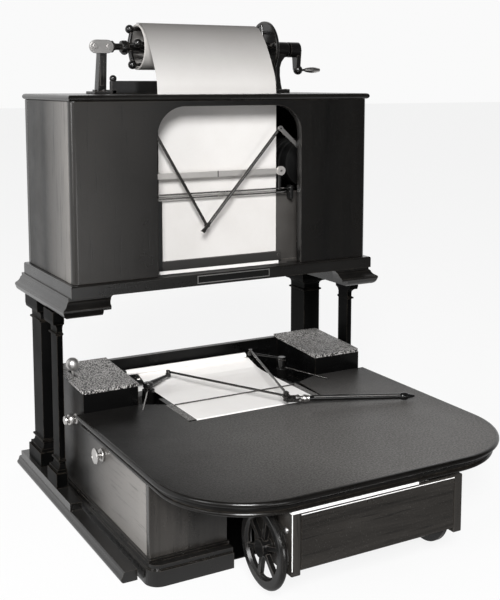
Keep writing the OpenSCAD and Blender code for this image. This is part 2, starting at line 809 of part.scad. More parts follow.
module rear_wall() {
    y = body_rear - body_t;
    color("#201a18") placed() {
        along_x(-body_half + body_t, body_half - body_t)
            polygon([[y, foot_h], [body_rear, foot_h], [body_rear, lid_z(body_rear)], [y, lid_z(y)]]);
        block([-well_half + 1.2, y, desk_z], [well_half - 1.2, body_rear, desk_z + wall_rise]);
    }
}

// Front and inner board of one rheostat box
module box(side) {
    color("#1e1917") placed() on_side(side) {
        along_x(well_half, body_half)
            polygon([[0, desk_under], [body_t, desk_under], [body_t, lid_z(body_t)], [0, lid_z0]]);
        along_x(well_half, well_half + body_t) polygon([
            [body_t, desk_under], [body_rear - body_t, desk_under],
            [body_rear - body_t, lid_z(body_rear - body_t)], [body_t, lid_z(body_t)]
        ]);
    }
}

lever_x = body_half - body_t - 1.6;
lever_y = 50;
lever_slot = 10;
lid_out = 0.4;

// Sloping lid with rounded corners; the left one has the lever's slot
module lid(side) {
    x0 = well_half - lid_out;
    x1 = body_half + lid_out;
    y0 = -lid_out;
    y1 = body_rear + lid_out;
    color("#5c5650") placed() on_side(side) difference() {
        intersection() {
            along_x(x0, x1) polygon([
                [y0, lid_z(y0)], [y1, lid_z(y1)], [y1, lid_z(y1) + lid_t], [y0, lid_z(y0) + lid_t]
            ]);
            translate([0, 0, lid_z0 - 10]) linear_extrude(lid_t + 30) polygon(concat(
                arc(x1 - 3, y1 - 3, 3, 0, 90, 6), [[x0, y1], [x0, y0]], arc(x1 - 3, y0 + 3, 3, -90, 0, 6)
            ));
        }
        if (side < 0) {
            block([lever_x - 1.6, lever_y - lever_slot, lid_z0 - 1], [lever_x + 1.6, lever_y + lever_slot, lid_z0 + 30]);
        }
    }
}

// Writing desk

edge_in = 8;
edge_bead = 1.6;
edge_cove = 5.2;
edge_nose = 2.2;
notch_y = 12;
open_half = slip_w / 2 + 9;
open_front = 66;
inlay_in = 3;
inlay_t = 0.8;

// Cut from the desk's rear edge: the well mouth, narrowing to the writing opening
notch = [
    [-well_half, 1], [-well_half, 0], [slip_x - open_half + 1, -notch_y], [slip_x - open_half, -open_front],
    [slip_x + open_half, -open_front], [slip_x + open_half + 4, -notch_y], [well_half, 0], [well_half, 1]
];

// Desk outline set in by d from its outer edge
module desk_outline(d) {
    polygon(concat(
        [[desk_half - d, 0], [-desk_half + d, 0]],
        arc(-desk_half + desk_r, -desk_front + desk_r, desk_r - d, 180, 270, 16),
        arc(desk_half - desk_r, -desk_front + desk_r, desk_r - d, 270, 360, 16)
    ));
}

// Desk with a moulded edge on its sides, front and corners
module desk_top() {
    color("#1b1715") placed() difference() {
        translate([0, 0, desk_under]) {
            linear_extrude(desk_t) desk_outline(edge_in);
            for (side = [-1, 1]) on_side(side) {
                translate([desk_half - edge_in, 0, 0]) rotate([90, 0, 0])
                    linear_extrude(desk_front - desk_r) desk_edge();
                translate([desk_half - desk_r, -desk_front + desk_r, 0]) rotate([0, 0, -90])
                    rotate_extrude(angle = 90) translate([desk_r - edge_in, 0]) desk_edge();
            }
            translate([-desk_half + desk_r, -desk_front + edge_in, 0]) rotate([90, 0, 90])
                linear_extrude(2 * (desk_half - desk_r)) mirror([1, 0]) desk_edge();
        }
        translate([0, 0, desk_under - 1]) linear_extrude(desk_t + 2) polygon(notch);
        translate([0, 0, desk_z - inlay_t]) linear_extrude(inlay_t + 1) desk_outline(inlay_in);
    }
}

// Section of the desk's edge from its core outwards: a bead under a cove, and a nosing on top
module desk_edge() {
    polygon(concat(
        [[0, 0], [edge_in - edge_nose - edge_cove + 1, 0]],
        arc(edge_bead, edge_bead, edge_bead, -90, 70, 6),
        arc(edge_in - 1, 2 * edge_bead + 0.1, edge_cove, 180, 103, 8),
        arc(edge_in - edge_nose, desk_t - edge_nose, edge_nose, -90, 90, 10),
        [[0, desk_t]]
    ));
}

// Writing surface let into the desk
module desk_surface() {
    color("#6f6a64") placed() translate([0, 0, desk_z - inlay_t]) linear_extrude(inlay_t) difference() {
        desk_outline(inlay_in + 0.1);
        polygon(notch);
    }
}

bed_z = desk_z - 0.6;
sill_z = desk_under - 3.5;
slot_w = 4;
bed_rear = 8;

// Bed under the writing paper on a sill board that runs back to the rear wall
module writing_platen() {
    half = open_half - 1.2;
    color("#85796c") placed() {
        block([slip_x - half, -open_front + slot_w, desk_under], [slip_x + half, -notch_y, bed_z]);
        block([slip_x - half + 2.5, -notch_y, desk_under], [slip_x + half - 2.5, bed_rear, bed_z]);
        difference() {
            block([-well_half, -open_front + slot_w, sill_z], [well_half, body_rear - body_t, desk_under]);
            block([slip_x - slip_w / 2 - 1.5, body_rear - body_t - 2.2, sill_z - 1],
                [slip_x + slip_w / 2 + 1.5, body_rear, desk_under + 1]);
        }
    }
}

roller_y = body_rear - body_t - 6.3;
roller_z = bed_z + 1.5;
roller_r = 5;
slip_z = bed_z + 0.2;

// Web from below, over the roller, down to the bed and through the slot before it
module transmitter_paper() {
    wrap = roller_r + gap;
    droop = [for (q = [[-12, 3.5], [-19, 1.5], [-29, 0.4], [-41, 0]])
        [roller_y + q[0], slip_z + q[1]]];
    d = [roller_y, roller_z] - droop[0];
    leave = 90 + atan2(d[1], d[0]) + asin(wrap / norm(d));
    path = concat(
        [[roller_y + wrap, sill_z - 20]],
        arc(roller_y, roller_z, wrap, 0, leave, 10),
        droop,
        arc(-open_front + slot_w, slip_z - 1.6, 1.6, 90, 180, 5),
        arc(-open_front + slot_w - 3.6, desk_under - 3.5, 2, 0, -90, 4),
        arc(strip_y + 8, desk_under - 16.5, 8, 90, 180, 8),
        [[strip_y, reel2_z]]
    );
    color("#f4f1e9") placed() along_x(slip_x - slip_w / 2, slip_x + slip_w / 2) polygon(web(path, -paper_t));
}

module paper_roller() {
    color("#d8d5cc") placed() {
        rod_x(slip_x - slip_w / 2, slip_x + slip_w / 2, roller_y, roller_z, roller_r);
        rod_x(slip_x - slip_w / 2 - 7, slip_x + slip_w / 2 + 7, roller_y, roller_z, 1.5);
    }
}

module roller_brackets() {
    color("#2c2c2c") placed() for (side = [-1, 1]) difference() {
        x = slip_x + side * (slip_w / 2 + 4.5);
        block([x - 1, roller_y - 4, roller_z - 6], [x + 1, body_rear - body_t, roller_z + 4]);
        rod_x(x - 2, x + 2, roller_y, roller_z, 1.5 + run);
    }
}

wire_r = 0.7;
wire_y = -20;
wire_rise = 1.6;
stay_r = 4.05;
stay_span = [26, -47.7];

// Wire across the paper, and a stay wire from each rheostat to the desk
module guide_wires() {
    left = slip_x - slip_w / 2 - 1.5;
    right = slip_x + slip_w / 2 + 1.5;
    u = stay_span / norm(stay_span);
    color("#9c9c98") placed() {
        rod_x(left, right, wire_y, bed_z + wire_rise, wire_r);
        for (x = [left, right]) rod_z(bed_z, bed_z + wire_rise, x, wire_y, wire_r);
        for (side = [-1, 1])
            rod([side * (tx_pivot_x + u[0] * stay_r), tx_pivot_y + u[1] * stay_r, desk_z + 4.6],
                [side * (tx_pivot_x + stay_span[0]), tx_pivot_y + stay_span[1], desk_z + wire_r], wire_r);
    }
}

tx_z_left = desk_z + 7.6;
tx_z_right = desk_z + 13.6;
tx_shaft_r = 2.2;

// Two small rheostat drums on the sill, each with a crank bearing
module rheostats() {
    color("#1c1c1e") placed() for (side = [-1, 1]) {
        top = side < 0 ? tx_z_left - 2 : tx_z_right - 2;
        difference() {
            union() {
                rod_z(desk_under, desk_z + 3, side * tx_pivot_x, tx_pivot_y, drum_r);
                rod_z(desk_z + 3, top, side * tx_pivot_x, tx_pivot_y, 4);
            }
            rod_z(desk_z - 4, top + 1, side * tx_pivot_x, tx_pivot_y, tx_shaft_r + run);
        }
    }
}

tx_pen = [18.7, -72.8];
tx_elbow_l = meet([-tx_pivot_x, tx_pivot_y], tx_pen, tx_crank, tx_arm, 1);
tx_elbow_r = meet([tx_pivot_x, tx_pivot_y], tx_pen, tx_crank, tx_arm, -1);
eye_h = 3;

module transmitter_crank(side, elbow, z, r, hub) {
    p = [side * tx_pivot_x, tx_pivot_y];
    color("#8a8780") placed() {
        difference() {
            union() {
                rod([p[0], p[1], z], [elbow[0], elbow[1], z], r);
                rod_z(z - eye_h / 2, z + eye_h / 2, p[0], p[1], hub);
                rod_z(z - eye_h / 2, z + eye_h / 2, elbow[0], elbow[1], 2.6);
            }
            rod_z(z - eye_h, z + eye_h, elbow[0], elbow[1], 1 + run);
        }
        rod_z(desk_z - 3, z - eye_h / 2, p[0], p[1], tx_shaft_r);
    }
}

// Arm from its elbow down to the pencil joint, ending in an eye of bore r
module transmitter_arm(elbow, z, z_end, bore) {
    e = [elbow[0], elbow[1], z];
    u = (tx_pen - elbow) / tx_arm;
    q = tx_pen - u * (bore + 0.8);
    color("#77736c") placed() difference() {
        union() {
            rod(e, [q[0], q[1], z_end], 1.1);
            rod_z(z - 1.2, z + 1.2, elbow[0], elbow[1], 2.2);
            rod_z(z - 5, z, elbow[0], elbow[1], 1);
            rod_z(z_end - 0.9, z_end + 0.9, tx_pen[0], tx_pen[1], bore + 1.4);
        }
        rod_z(z_end - 3, z_end + 3, tx_pen[0], tx_pen[1], bore);
    }
}

pin2_r = 1.2;
fork_rise = 7.6;
fork_z = desk_z + fork_rise;
left_end_z = fork_z + 3;
right_end_z = left_end_z + 2.6;
pencil_a = -19.1;
fork_reach = 12;
fork_t = 1.2;
fork_h = 3.2;
fork_y = 4.9;
collar_x = 7;
point_l = 7;
// The holder slopes down until its far end just clears the desk
pencil_dip = asin((fork_z - desk_z - pencil_r - gap) / pencil_l);

// Places a piece along the pencil: X runs from the joint towards the pencil's far end
module at_pencil() {
    placed() translate([tx_pen[0], tx_pen[1], 0]) rotate([0, 0, pencil_a]) children();
}

// Spindle at the joint and a fork that holds the pencil's collar
module pencil_fork() {
    z0 = fork_z - fork_h / 2;
    z1 = fork_z + fork_h / 2;
    color("#7d7a74") at_pencil() {
        rod_z(z0, right_end_z + 2, 0, 0, pin2_r);
        rod_z(z0, left_end_z - 1.4, 0, 0, 2.6);
        for (s = [-1, 1]) difference() {
            union() {
                block([0, s * fork_y - fork_t / 2, z0], [fork_reach, s * fork_y + fork_t / 2, z1]);
                rod_y(s * fork_y - fork_t / 2, s * fork_y + fork_t / 2, fork_reach, fork_z, 2);
            }
            rod_y(s * fork_y - 2, s * fork_y + 2, fork_reach, fork_z, 1 + run);
        }
        block([-0.8, -fork_y - fork_t / 2, z0], [1.6, fork_y + fork_t / 2, z1]);
    }
}

// Tubular holder with collars and the lead's point
module pencil() {
    color("#3b3936") at_pencil() translate([fork_reach, 0, fork_z]) rotate([0, pencil_dip, 0]) {
        rod_y(-fork_y - 1, fork_y + 1, 0, 0, 1);
        rod_x(-3, 5, 0, 0, 2.2);
        rod_x(collar_x - 3, collar_x, 0, 0, pencil_r);
        rod_x(collar_x, pencil_l, 0, 0, pencil_r - 0.35);
        rod_x(pencil_l - 4, pencil_l, 0, 0, pencil_r);
        translate([pencil_l, 0, 0]) rotate([0, 90, 0]) cylinder(h = point_l, r1 = 2.4, r2 = 1);
    }
}

lever_z = desk_z + 9;

// Ball on a thin stem that swings fore and aft in the lid's slot
module ball_lever() {
    top = lid_z(lever_y) + lid_t + ball_r + 3.2;
    color("#c9c7c0") placed() translate([-lever_x, lever_y, 0]) {
        rod_z(lever_z, top, 0, 0, 1.1);
        translate([0, 0, top]) sphere(r = ball_r);
        rod_x(-1.5, 8, 0, lever_z, 1.6);
    }
}

ring_y = 8;
ring_z = desk_z - 6.2;
spool_y = -47;
spool_z = desk_z - 22.8;
knob_stem_r = 1.2;

// Turned knob with three rings, on the left side below the lid
module ring_knob() {
    color("#c2bfb6") placed()
        translate([-body_half, ring_y, ring_z]) rotate([0, -90, 0]) rotate_extrude() polygon(concat(
            [[0, -body_t], [knob_stem_r, -body_t], [knob_stem_r, gap]],
            [for (k = [0:2]) each arc(ring_r - 2.7 + 0.5 * k, 2.6 + k * 5.6, 1.5, -80, 80, 8)],
            [[0, 15.6]]
        ));
}

// Turned knob like a spool, on the left side of the body
module spool_knob() {
    color("#c2bfb6") placed()
        translate([-body_half, spool_y, spool_z]) rotate([0, -90, 0]) rotate_extrude() polygon([
            [0, -body_t], [knob_stem_r, -body_t], [knob_stem_r, gap],
            [spool_r - 0.9, gap], [spool_r - 0.9, 1.5], [2, 1.9], [2, 8.6], [spool_r, 9], [spool_r, 10.5], [0, 10.9]
        ]);
}

// Take-up box under the desk's front edge

board_y = desk_front - 6.5;
board_t2 = 3;
board_z1 = desk_under - 4.5;
board_seam = 0.5;
plate_d = 15.6;
cheek_foot = 22;
cheek_head = 34;
cheek_step = 16;
reel2_y = -board_y + 32;
reel2_z = wheel_r + 9.5;
reel2_r = roll_r + 3;
strip_y = reel2_y - reel2_r - gap - paper_t;
axle_r = 3;

// Front board under a thin bright plate that lies on the cheeks
module take_up_board() {
    half = box_half - cheek_t - board_seam;
    color("#3a312d") placed() {
        block([-half, -board_y, box_lift], [half, -board_y + board_t2, board_z1 - 1]);
        block([-box_half, -board_y - 0.6, board_z1 - 1], [box_half, -board_y - 0.6 + plate_d, board_z1]);
    }
}

// Cheeks that hang from the desk and carry the take-up axle
module take_up_cheeks() {
    color("#2c2826") placed() for (side = [-1, 1]) on_side(side) difference() {
        along_x(box_half - cheek_t, box_half) polygon([
            [-board_y, box_lift - 4], [reel2_y + cheek_foot, box_lift - 4], [reel2_y + cheek_head, desk_under],
            [-board_y + cheek_step, desk_under], [-board_y + cheek_step, board_z1 - 1], [-board_y, board_z1 - 1]
        ]);
        rod_x(box_half - cheek_t - 1, box_half + 1, reel2_y, reel2_z, axle_r + run);
    }
    color("#2c2826") placed() rod_x(-box_half - 1.3, -box_half, -board_y + 8, board_z1 - 12.8, 3);
}

wheel_w = 6;
rim = 9.5;
spokes = 6;
flange_r = 28.5;
flange_t = 3.5;

// Axle, wound paper, an end flange inside the right cheek and a spoked handwheel outside the left one
module take_up_reel() {
    color("#262322") placed() {
        rod_x(-box_half - wheel_w - 3, box_half + 3, reel2_y, reel2_z, axle_r);
        rod_x(-slip_w / 2 + slip_x, slip_w / 2 + slip_x, reel2_y, reel2_z, reel2_r);
        rod_x(box_half - cheek_t - flange_t - 2, box_half - cheek_t - 2, reel2_y, reel2_z, flange_r);
        on_side(-1) translate([box_half + 2, reel2_y, reel2_z]) {
            rotate([0, 90, 0]) rotate_extrude() polygon(concat(
                [[wheel_r - rim, 4], [wheel_r - rim, 2], [wheel_r - rim + 2, 0]],
                arc(wheel_r - wheel_w / 2, wheel_w / 2, wheel_w / 2, -90, 90, 8),
                [[wheel_r - rim + 2, wheel_w]]
            ));
            rod_x(-1.2, wheel_w + 1.5, 0, 0, 7);
            for (i = [0:spokes - 1]) rotate([i * 360 / spokes + 12, 0, 0])
                block([1.2, -1.9, 5], [wheel_w - 1.2, 1.9, wheel_r - rim / 2]);
        }
    }
}

base_rail(-1);  // base_rail_left
base_rail(1);  // base_rail_right
columns_front();
columns_rear();
cornice(-1);  // cornice_left
cornice(1);  // cornice_right
cabinet_base();
cabinet_floor();
cabinet_side(-1);  // cabinet_side_left
cabinet_side(1);  // cabinet_side_right
cabinet_front();
cabinet_back();
cabinet_top();
receiver_platen();
receiver_guides();
receiver_paper();
supply_roll();
supply_brackets();
receiver_motors();
lifter_bar();
lifter_shaft();
receiver_crank(-1, rx_elbow_l);  // receiver_crank_left
receiver_crank(1, rx_elbow_r);  // receiver_crank_right
receiver_arm_left();
receiver_arm_right();
reel_frame();
bearing_cap();
paper_reel();
reel_paper();
reel_crank();
crank_handle();
transmitter_plinth();
body_side(-1);  // body_side_left
body_side(1);  // body_side_right
body_front_boards();
rear_wall();
box(-1);  // box_left
box(1);  // box_right
lid(-1);  // lid_left
lid(1);  // lid_right
desk_top();
desk_surface();
writing_platen();
transmitter_paper();
paper_roller();
roller_brackets();
guide_wires();
rheostats();
transmitter_crank(-1, tx_elbow_l, tx_z_left, 1.9, 5);  // transmitter_crank_left
transmitter_crank(1, tx_elbow_r, tx_z_right, 1.3, 3.6);  // transmitter_crank_right
transmitter_arm(tx_elbow_l, tx_z_left + 3.4, left_end_z, 2.4);  // transmitter_arm_left
transmitter_arm(tx_elbow_r, tx_z_right + 3.4, right_end_z, pin2_r + run);  // transmitter_arm_right
pencil_fork();
pencil();
ball_lever();
ring_knob();
spool_knob();
take_up_board();
take_up_cheeks();
take_up_reel();
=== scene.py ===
"""Telewriter: a pencil transmitter under a pen receiver on a moulded wooden stand, in a studio view."""

import json
import logging
import math
from dataclasses import dataclass
from enum import Enum
from typing import Callable, Iterable, Sequence

import bmesh
import bpy
from mathutils import Matrix, Vector

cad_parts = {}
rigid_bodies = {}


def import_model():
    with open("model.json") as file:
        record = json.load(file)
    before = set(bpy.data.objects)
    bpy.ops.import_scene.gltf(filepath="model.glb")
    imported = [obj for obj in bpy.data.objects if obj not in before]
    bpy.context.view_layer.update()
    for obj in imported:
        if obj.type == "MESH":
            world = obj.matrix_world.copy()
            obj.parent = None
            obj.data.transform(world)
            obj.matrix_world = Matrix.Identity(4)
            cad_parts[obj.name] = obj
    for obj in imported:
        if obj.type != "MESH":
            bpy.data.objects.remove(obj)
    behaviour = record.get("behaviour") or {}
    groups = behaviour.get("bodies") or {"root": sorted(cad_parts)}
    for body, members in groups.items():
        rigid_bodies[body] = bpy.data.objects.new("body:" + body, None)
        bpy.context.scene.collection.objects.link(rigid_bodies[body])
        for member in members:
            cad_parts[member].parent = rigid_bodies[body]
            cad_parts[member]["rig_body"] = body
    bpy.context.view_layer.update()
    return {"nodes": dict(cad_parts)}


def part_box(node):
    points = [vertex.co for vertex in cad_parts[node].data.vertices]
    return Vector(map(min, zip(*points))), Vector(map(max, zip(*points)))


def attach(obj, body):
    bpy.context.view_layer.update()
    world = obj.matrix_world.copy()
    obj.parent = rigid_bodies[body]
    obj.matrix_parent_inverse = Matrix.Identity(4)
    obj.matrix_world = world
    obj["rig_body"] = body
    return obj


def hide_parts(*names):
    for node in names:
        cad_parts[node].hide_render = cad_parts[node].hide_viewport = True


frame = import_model()

MM = 0.001
# Where the cabinet's front lies in the shared frame, in millimetres
CABINET_FRONT = 52.75
LOG = logging.getLogger("telewriter")
Point = tuple[float, float, float]
Colour = tuple[float, float, float, float]
Span = tuple[float, float]
Outline = Sequence[Span]
Node = bpy.types.Node
Socket = bpy.types.NodeSocket
Tree = bpy.types.NodeTree
Material = bpy.types.Material
Mesh = bmesh.types.BMesh
Vert = bmesh.types.BMVert
# A span that switches an effect off
NOWHERE: Span = (0.0, 0.0)
# The part of a cloud's noise that is used
CLOUD: Span = (0.3, 0.7)


def corners(node: str) -> tuple[Vector, Vector]:
    """Returns a CAD node's lowest and highest corners in millimetres, with Y from the cabinet's front."""
    low, high = (Vector(corner) / MM - Vector((0.0, CABINET_FRONT, 0.0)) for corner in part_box(node))
    return low, high


class Axis(Enum):
    """Directions that a grain, a turned piece or a rod can follow."""

    X = Vector((1.0, 0.0, 0.0))
    Y = Vector((0.0, 1.0, 0.0))
    Z = Vector((0.0, 0.0, 1.0))

    @property
    def place(self) -> int:
        """Where the axis stands among a point's three numbers."""
        return list(Axis).index(self)


class Ease:
    """Widths of eased edges, in millimetres."""

    HAIR = 0.1
    FINE = 0.2
    THIN = 0.3
    PLAIN = 0.4
    SOFT = 0.5
    BROAD = 0.6


def grey(value: float, warmth: float = 0.0) -> Colour:
    """Returns a near-neutral colour.

    Args:
        value: Linear brightness.
        warmth: How far red is raised and blue lowered, as a share of value.

    Returns:
        The colour with full alpha.
    """
    return (value * (1 + warmth), value, value * (1 - warmth), 1.0)


class Graph:
    """A node tree with short calls for adding and joining nodes."""

    def __init__(self, tree: Tree) -> None:
        """Wraps a tree."""
        self.tree = tree

    def add(self, kind: str, inputs: dict | None = None, **settings: object) -> Node:
        """Adds one node.

        Args:
            kind: The node's Blender type name without its ShaderNode prefix.
            inputs: Values or sockets for its inputs, by name or index.
            **settings: Properties of the node itself.

        Returns:
            The new node.
        """
        node = self.tree.nodes.new("ShaderNode" + kind)
        for name, value in settings.items():
            setattr(node, name, value)
        self.wire(node, inputs or {})
        return node

    def wire(self, node: Node, inputs: dict) -> None:
        """Sets a node's inputs, or links them where sockets are given.

        Args:
            node: The node.
            inputs: Values or sockets, by the input's name or index.
        """
        for key, value in inputs.items():
            if isinstance(value, Socket):
                self.tree.links.new(value, node.inputs[key])
            else:
                node.inputs[key].default_value = value

    def effect(self, tree: Tree, **values: object) -> list[Socket]:
        """Adds a shared effect with its own values and returns its results in order."""
        return list(self.add("Group", values, node_tree=tree).outputs)

    def math(self, operation: str, *values: object, clamp: bool = False) -> Socket:
        """Adds a Math node and returns its result."""
        node = self.add("Math", dict(enumerate(values)), operation=operation, use_clamp=clamp)
        return node.outputs[0]

    def span(self, value: object, low: float, high: float, to_low: object = 0.0, to_high: object = 1.0,
             **settings: object) -> Socket:
        """Maps a value from one span to another.

        Args:
            value: The number or socket to map.
            low: Where the span starts.
            high: Where it ends.
            to_low: What its start becomes.
            to_high: What its end becomes.
            **settings: Properties of the node itself.

        Returns:
            The mapped value.
        """
        names = ("Value", "From Min", "From Max", "To Min", "To Max")
        inputs = dict(zip(names, (value, low, high, to_low, to_high)))
        return self.add("MapRange", inputs, **settings).outputs[0]

    def mix(self, share: object, first: object, second: object) -> Socket:
        """Mixes two colours and returns the result."""
        node = self.add("Mix", {0: share, 6: first, 7: second}, data_type="RGBA")
        return node.outputs[2]

    def object_coords(self) -> Socket:
        """Returns the piece's own coordinates in metres."""
        return self.add("TexCoord").outputs["Object"]

    def along(self, axis: Axis) -> Socket:
        """Returns the piece's own coordinate along an axis, in metres."""
        return self.add("SeparateXYZ", {0: self.object_coords()}).outputs[axis.place]

    def noise(self, scale: object, detail: float, coords: object = None, **inputs: object) -> Socket:
        """Adds a noise texture on the piece's own coordinates and returns its value."""
        values = {"Vector": coords or self.object_coords(), "Scale": scale, "Detail": detail, **inputs}
        return self.add("TexNoise", values).outputs[0]

    def bump(self, height: Socket, strength: float, depth: float) -> Socket:
        """Returns the normal of a relief, with its depth in metres."""
        return self.add("Bump", {"Strength": strength, "Distance": depth, "Height": height}).outputs[0]

    def for_camera(self, seen: object, lit: object) -> Socket:
        """Returns one value for what the camera sees and another for the light that goes out."""
        camera = self.add("LightPath").outputs["Is Camera Ray"]
        return self.add("Mix", {0: camera, 2: lit, 3: seen}, data_type="FLOAT").outputs[0]


class Effects:
    """Shader groups that more than one finish uses, each built once."""

    streak_span: Span = (0.33, 0.68)
    pore_span: Span = (0.56, 0.72)
    pores_per_streak: float = 9.0
    edge_span: Span = (0.995, 0.86)
    broken_scale: float = 160.0
    broken_span: Span = (0.36, 0.62)
    up_span: Span = (0.55, 1.0)
    film_scale: float = 26.0
    film_span: Span = (0.35, 0.75)
    thinnest_film: float = 0.25
    cloud_scale: float = 18.0

    def __init__(self) -> None:
        """Builds the groups."""
        self.figure = self._group("wood_figure", {"Stretch": "NodeSocketVector", "Scale": "NodeSocketFloat"},
                                  ("Figure", "Pores"), self._fill_figure)
        # Lighter edges: partly scuffed through with use, partly a painted highlight along the arrises
        self.wear_and_highlight = self._group("edge_wear_and_painted_highlight", {"Radius": "NodeSocketFloat", "Amount": "NodeSocketFloat"},
                                ("Mask",), self._fill_wear_and_highlight)
        self.dust = self._group("dust_film", {"Amount": "NodeSocketFloat"}, ("Mask",), self._fill_dust)
        self.grain = self._group("fine_grain", {"Scale": "NodeSocketFloat"}, ("Grain", "Cloud"),
                                 self._fill_grain)

    @staticmethod
    def _group(name: str, inputs: dict[str, str], outputs: Sequence[str],
               fill: Callable[[Graph, Node, Node], None]) -> Tree:
        """Makes a shader group.

        Args:
            name: The group's name.
            inputs: Socket types by input name.
            outputs: Names of the value outputs.
            fill: Adds the group's nodes between its input and output nodes.

        Returns:
            The group's node tree.
        """
        tree = bpy.data.node_groups.new(name, "ShaderNodeTree")
        for socket, kind in inputs.items():
            tree.interface.new_socket(name=socket, in_out="INPUT", socket_type=kind)
        for socket in outputs:
            tree.interface.new_socket(name=socket, in_out="OUTPUT", socket_type="NodeSocketFloat")
        fill(Graph(tree), tree.nodes.new("NodeGroupInput"), tree.nodes.new("NodeGroupOutput"))
        return tree

    def _fill_figure(self, g: Graph, given: Node, out: Node) -> None:
        """Long streaks along the grain, and short dark pores between them.

        Args:
            g: The group's graph.
            given: The group's input node.
            out: The group's output node.
        """
        drawn = g.add("VectorMath", {0: g.object_coords(), 1: given.outputs["Stretch"]}, operation="MULTIPLY")
        streak = g.noise(given.outputs["Scale"], 7.0, drawn.outputs[0], Distortion=0.7, Roughness=0.62)
        fine = g.math("MULTIPLY", given.outputs["Scale"], self.pores_per_streak)
        pores = g.noise(fine, 3.0, drawn.outputs[0], Roughness=0.7)
        g.wire(out, {"Figure": g.span(streak, *self.streak_span), "Pores": g.span(pores, *self.pore_span)})

    def _fill_wear_and_highlight(self, g: Graph, given: Node, out: Node) -> None:
        """Edges, found by comparing a rounded normal with the true one, broken up by noise: partly scuffed
        edges, partly a painted highlight along the arrises.

        Args:
            g: The group's graph.
            given: The group's input node.
            out: The group's output node.
        """
        rounded = g.add("Bevel", {"Radius": given.outputs["Radius"]}, samples=4)
        true = g.add("NewGeometry").outputs["Normal"]
        same = g.add("VectorMath", {0: rounded.outputs[0], 1: true}, operation="DOT_PRODUCT")
        edge = g.span(same.outputs["Value"], *self.edge_span)
        broken = g.span(g.noise(self.broken_scale, 5.0, Roughness=0.7), *self.broken_span)
        worn_and_painted_highlight = g.math("MULTIPLY", edge, broken)
        g.wire(out, {"Mask": g.math("MULTIPLY", worn_and_painted_highlight, given.outputs["Amount"], clamp=True)})

    def _fill_dust(self, g: Graph, given: Node, out: Node) -> None:
        """A thin cloudy film on faces that look up.

        Args:
            g: The group's graph.
            given: The group's input node.
            out: The group's output node.
        """
        normal = g.add("SeparateXYZ", {0: g.add("NewGeometry").outputs["Normal"]})
        up = g.span(normal.outputs[2], *self.up_span)
        cloud = g.span(g.noise(self.film_scale, 6.0, Roughness=0.65), *self.film_span, self.thinnest_film)
        film = g.math("MULTIPLY", up, cloud)
        g.wire(out, {"Mask": g.math("MULTIPLY", film, given.outputs["Amount"], clamp=True)})

    def _fill_grain(self, g: Graph, given: Node, out: Node) -> None:
        """A fine speckle and a broad cloud."""
        g.wire(out, {"Grain": g.noise(given.outputs["Scale"], 4.0, Roughness=0.75),
                     "Cloud": g.noise(self.cloud_scale, 5.0, Roughness=0.6)})


EFFECTS = Effects()


def start_material(name: str) -> tuple[Material, Graph, Node]:
    """Starts a node material.

    Args:
        name: The material's name.

    Returns:
        The material, its graph and its Principled BSDF.
    """
    made = bpy.data.materials.new(name)
    made.use_nodes = True
    return made, Graph(made.node_tree), made.node_tree.nodes["Principled BSDF"]


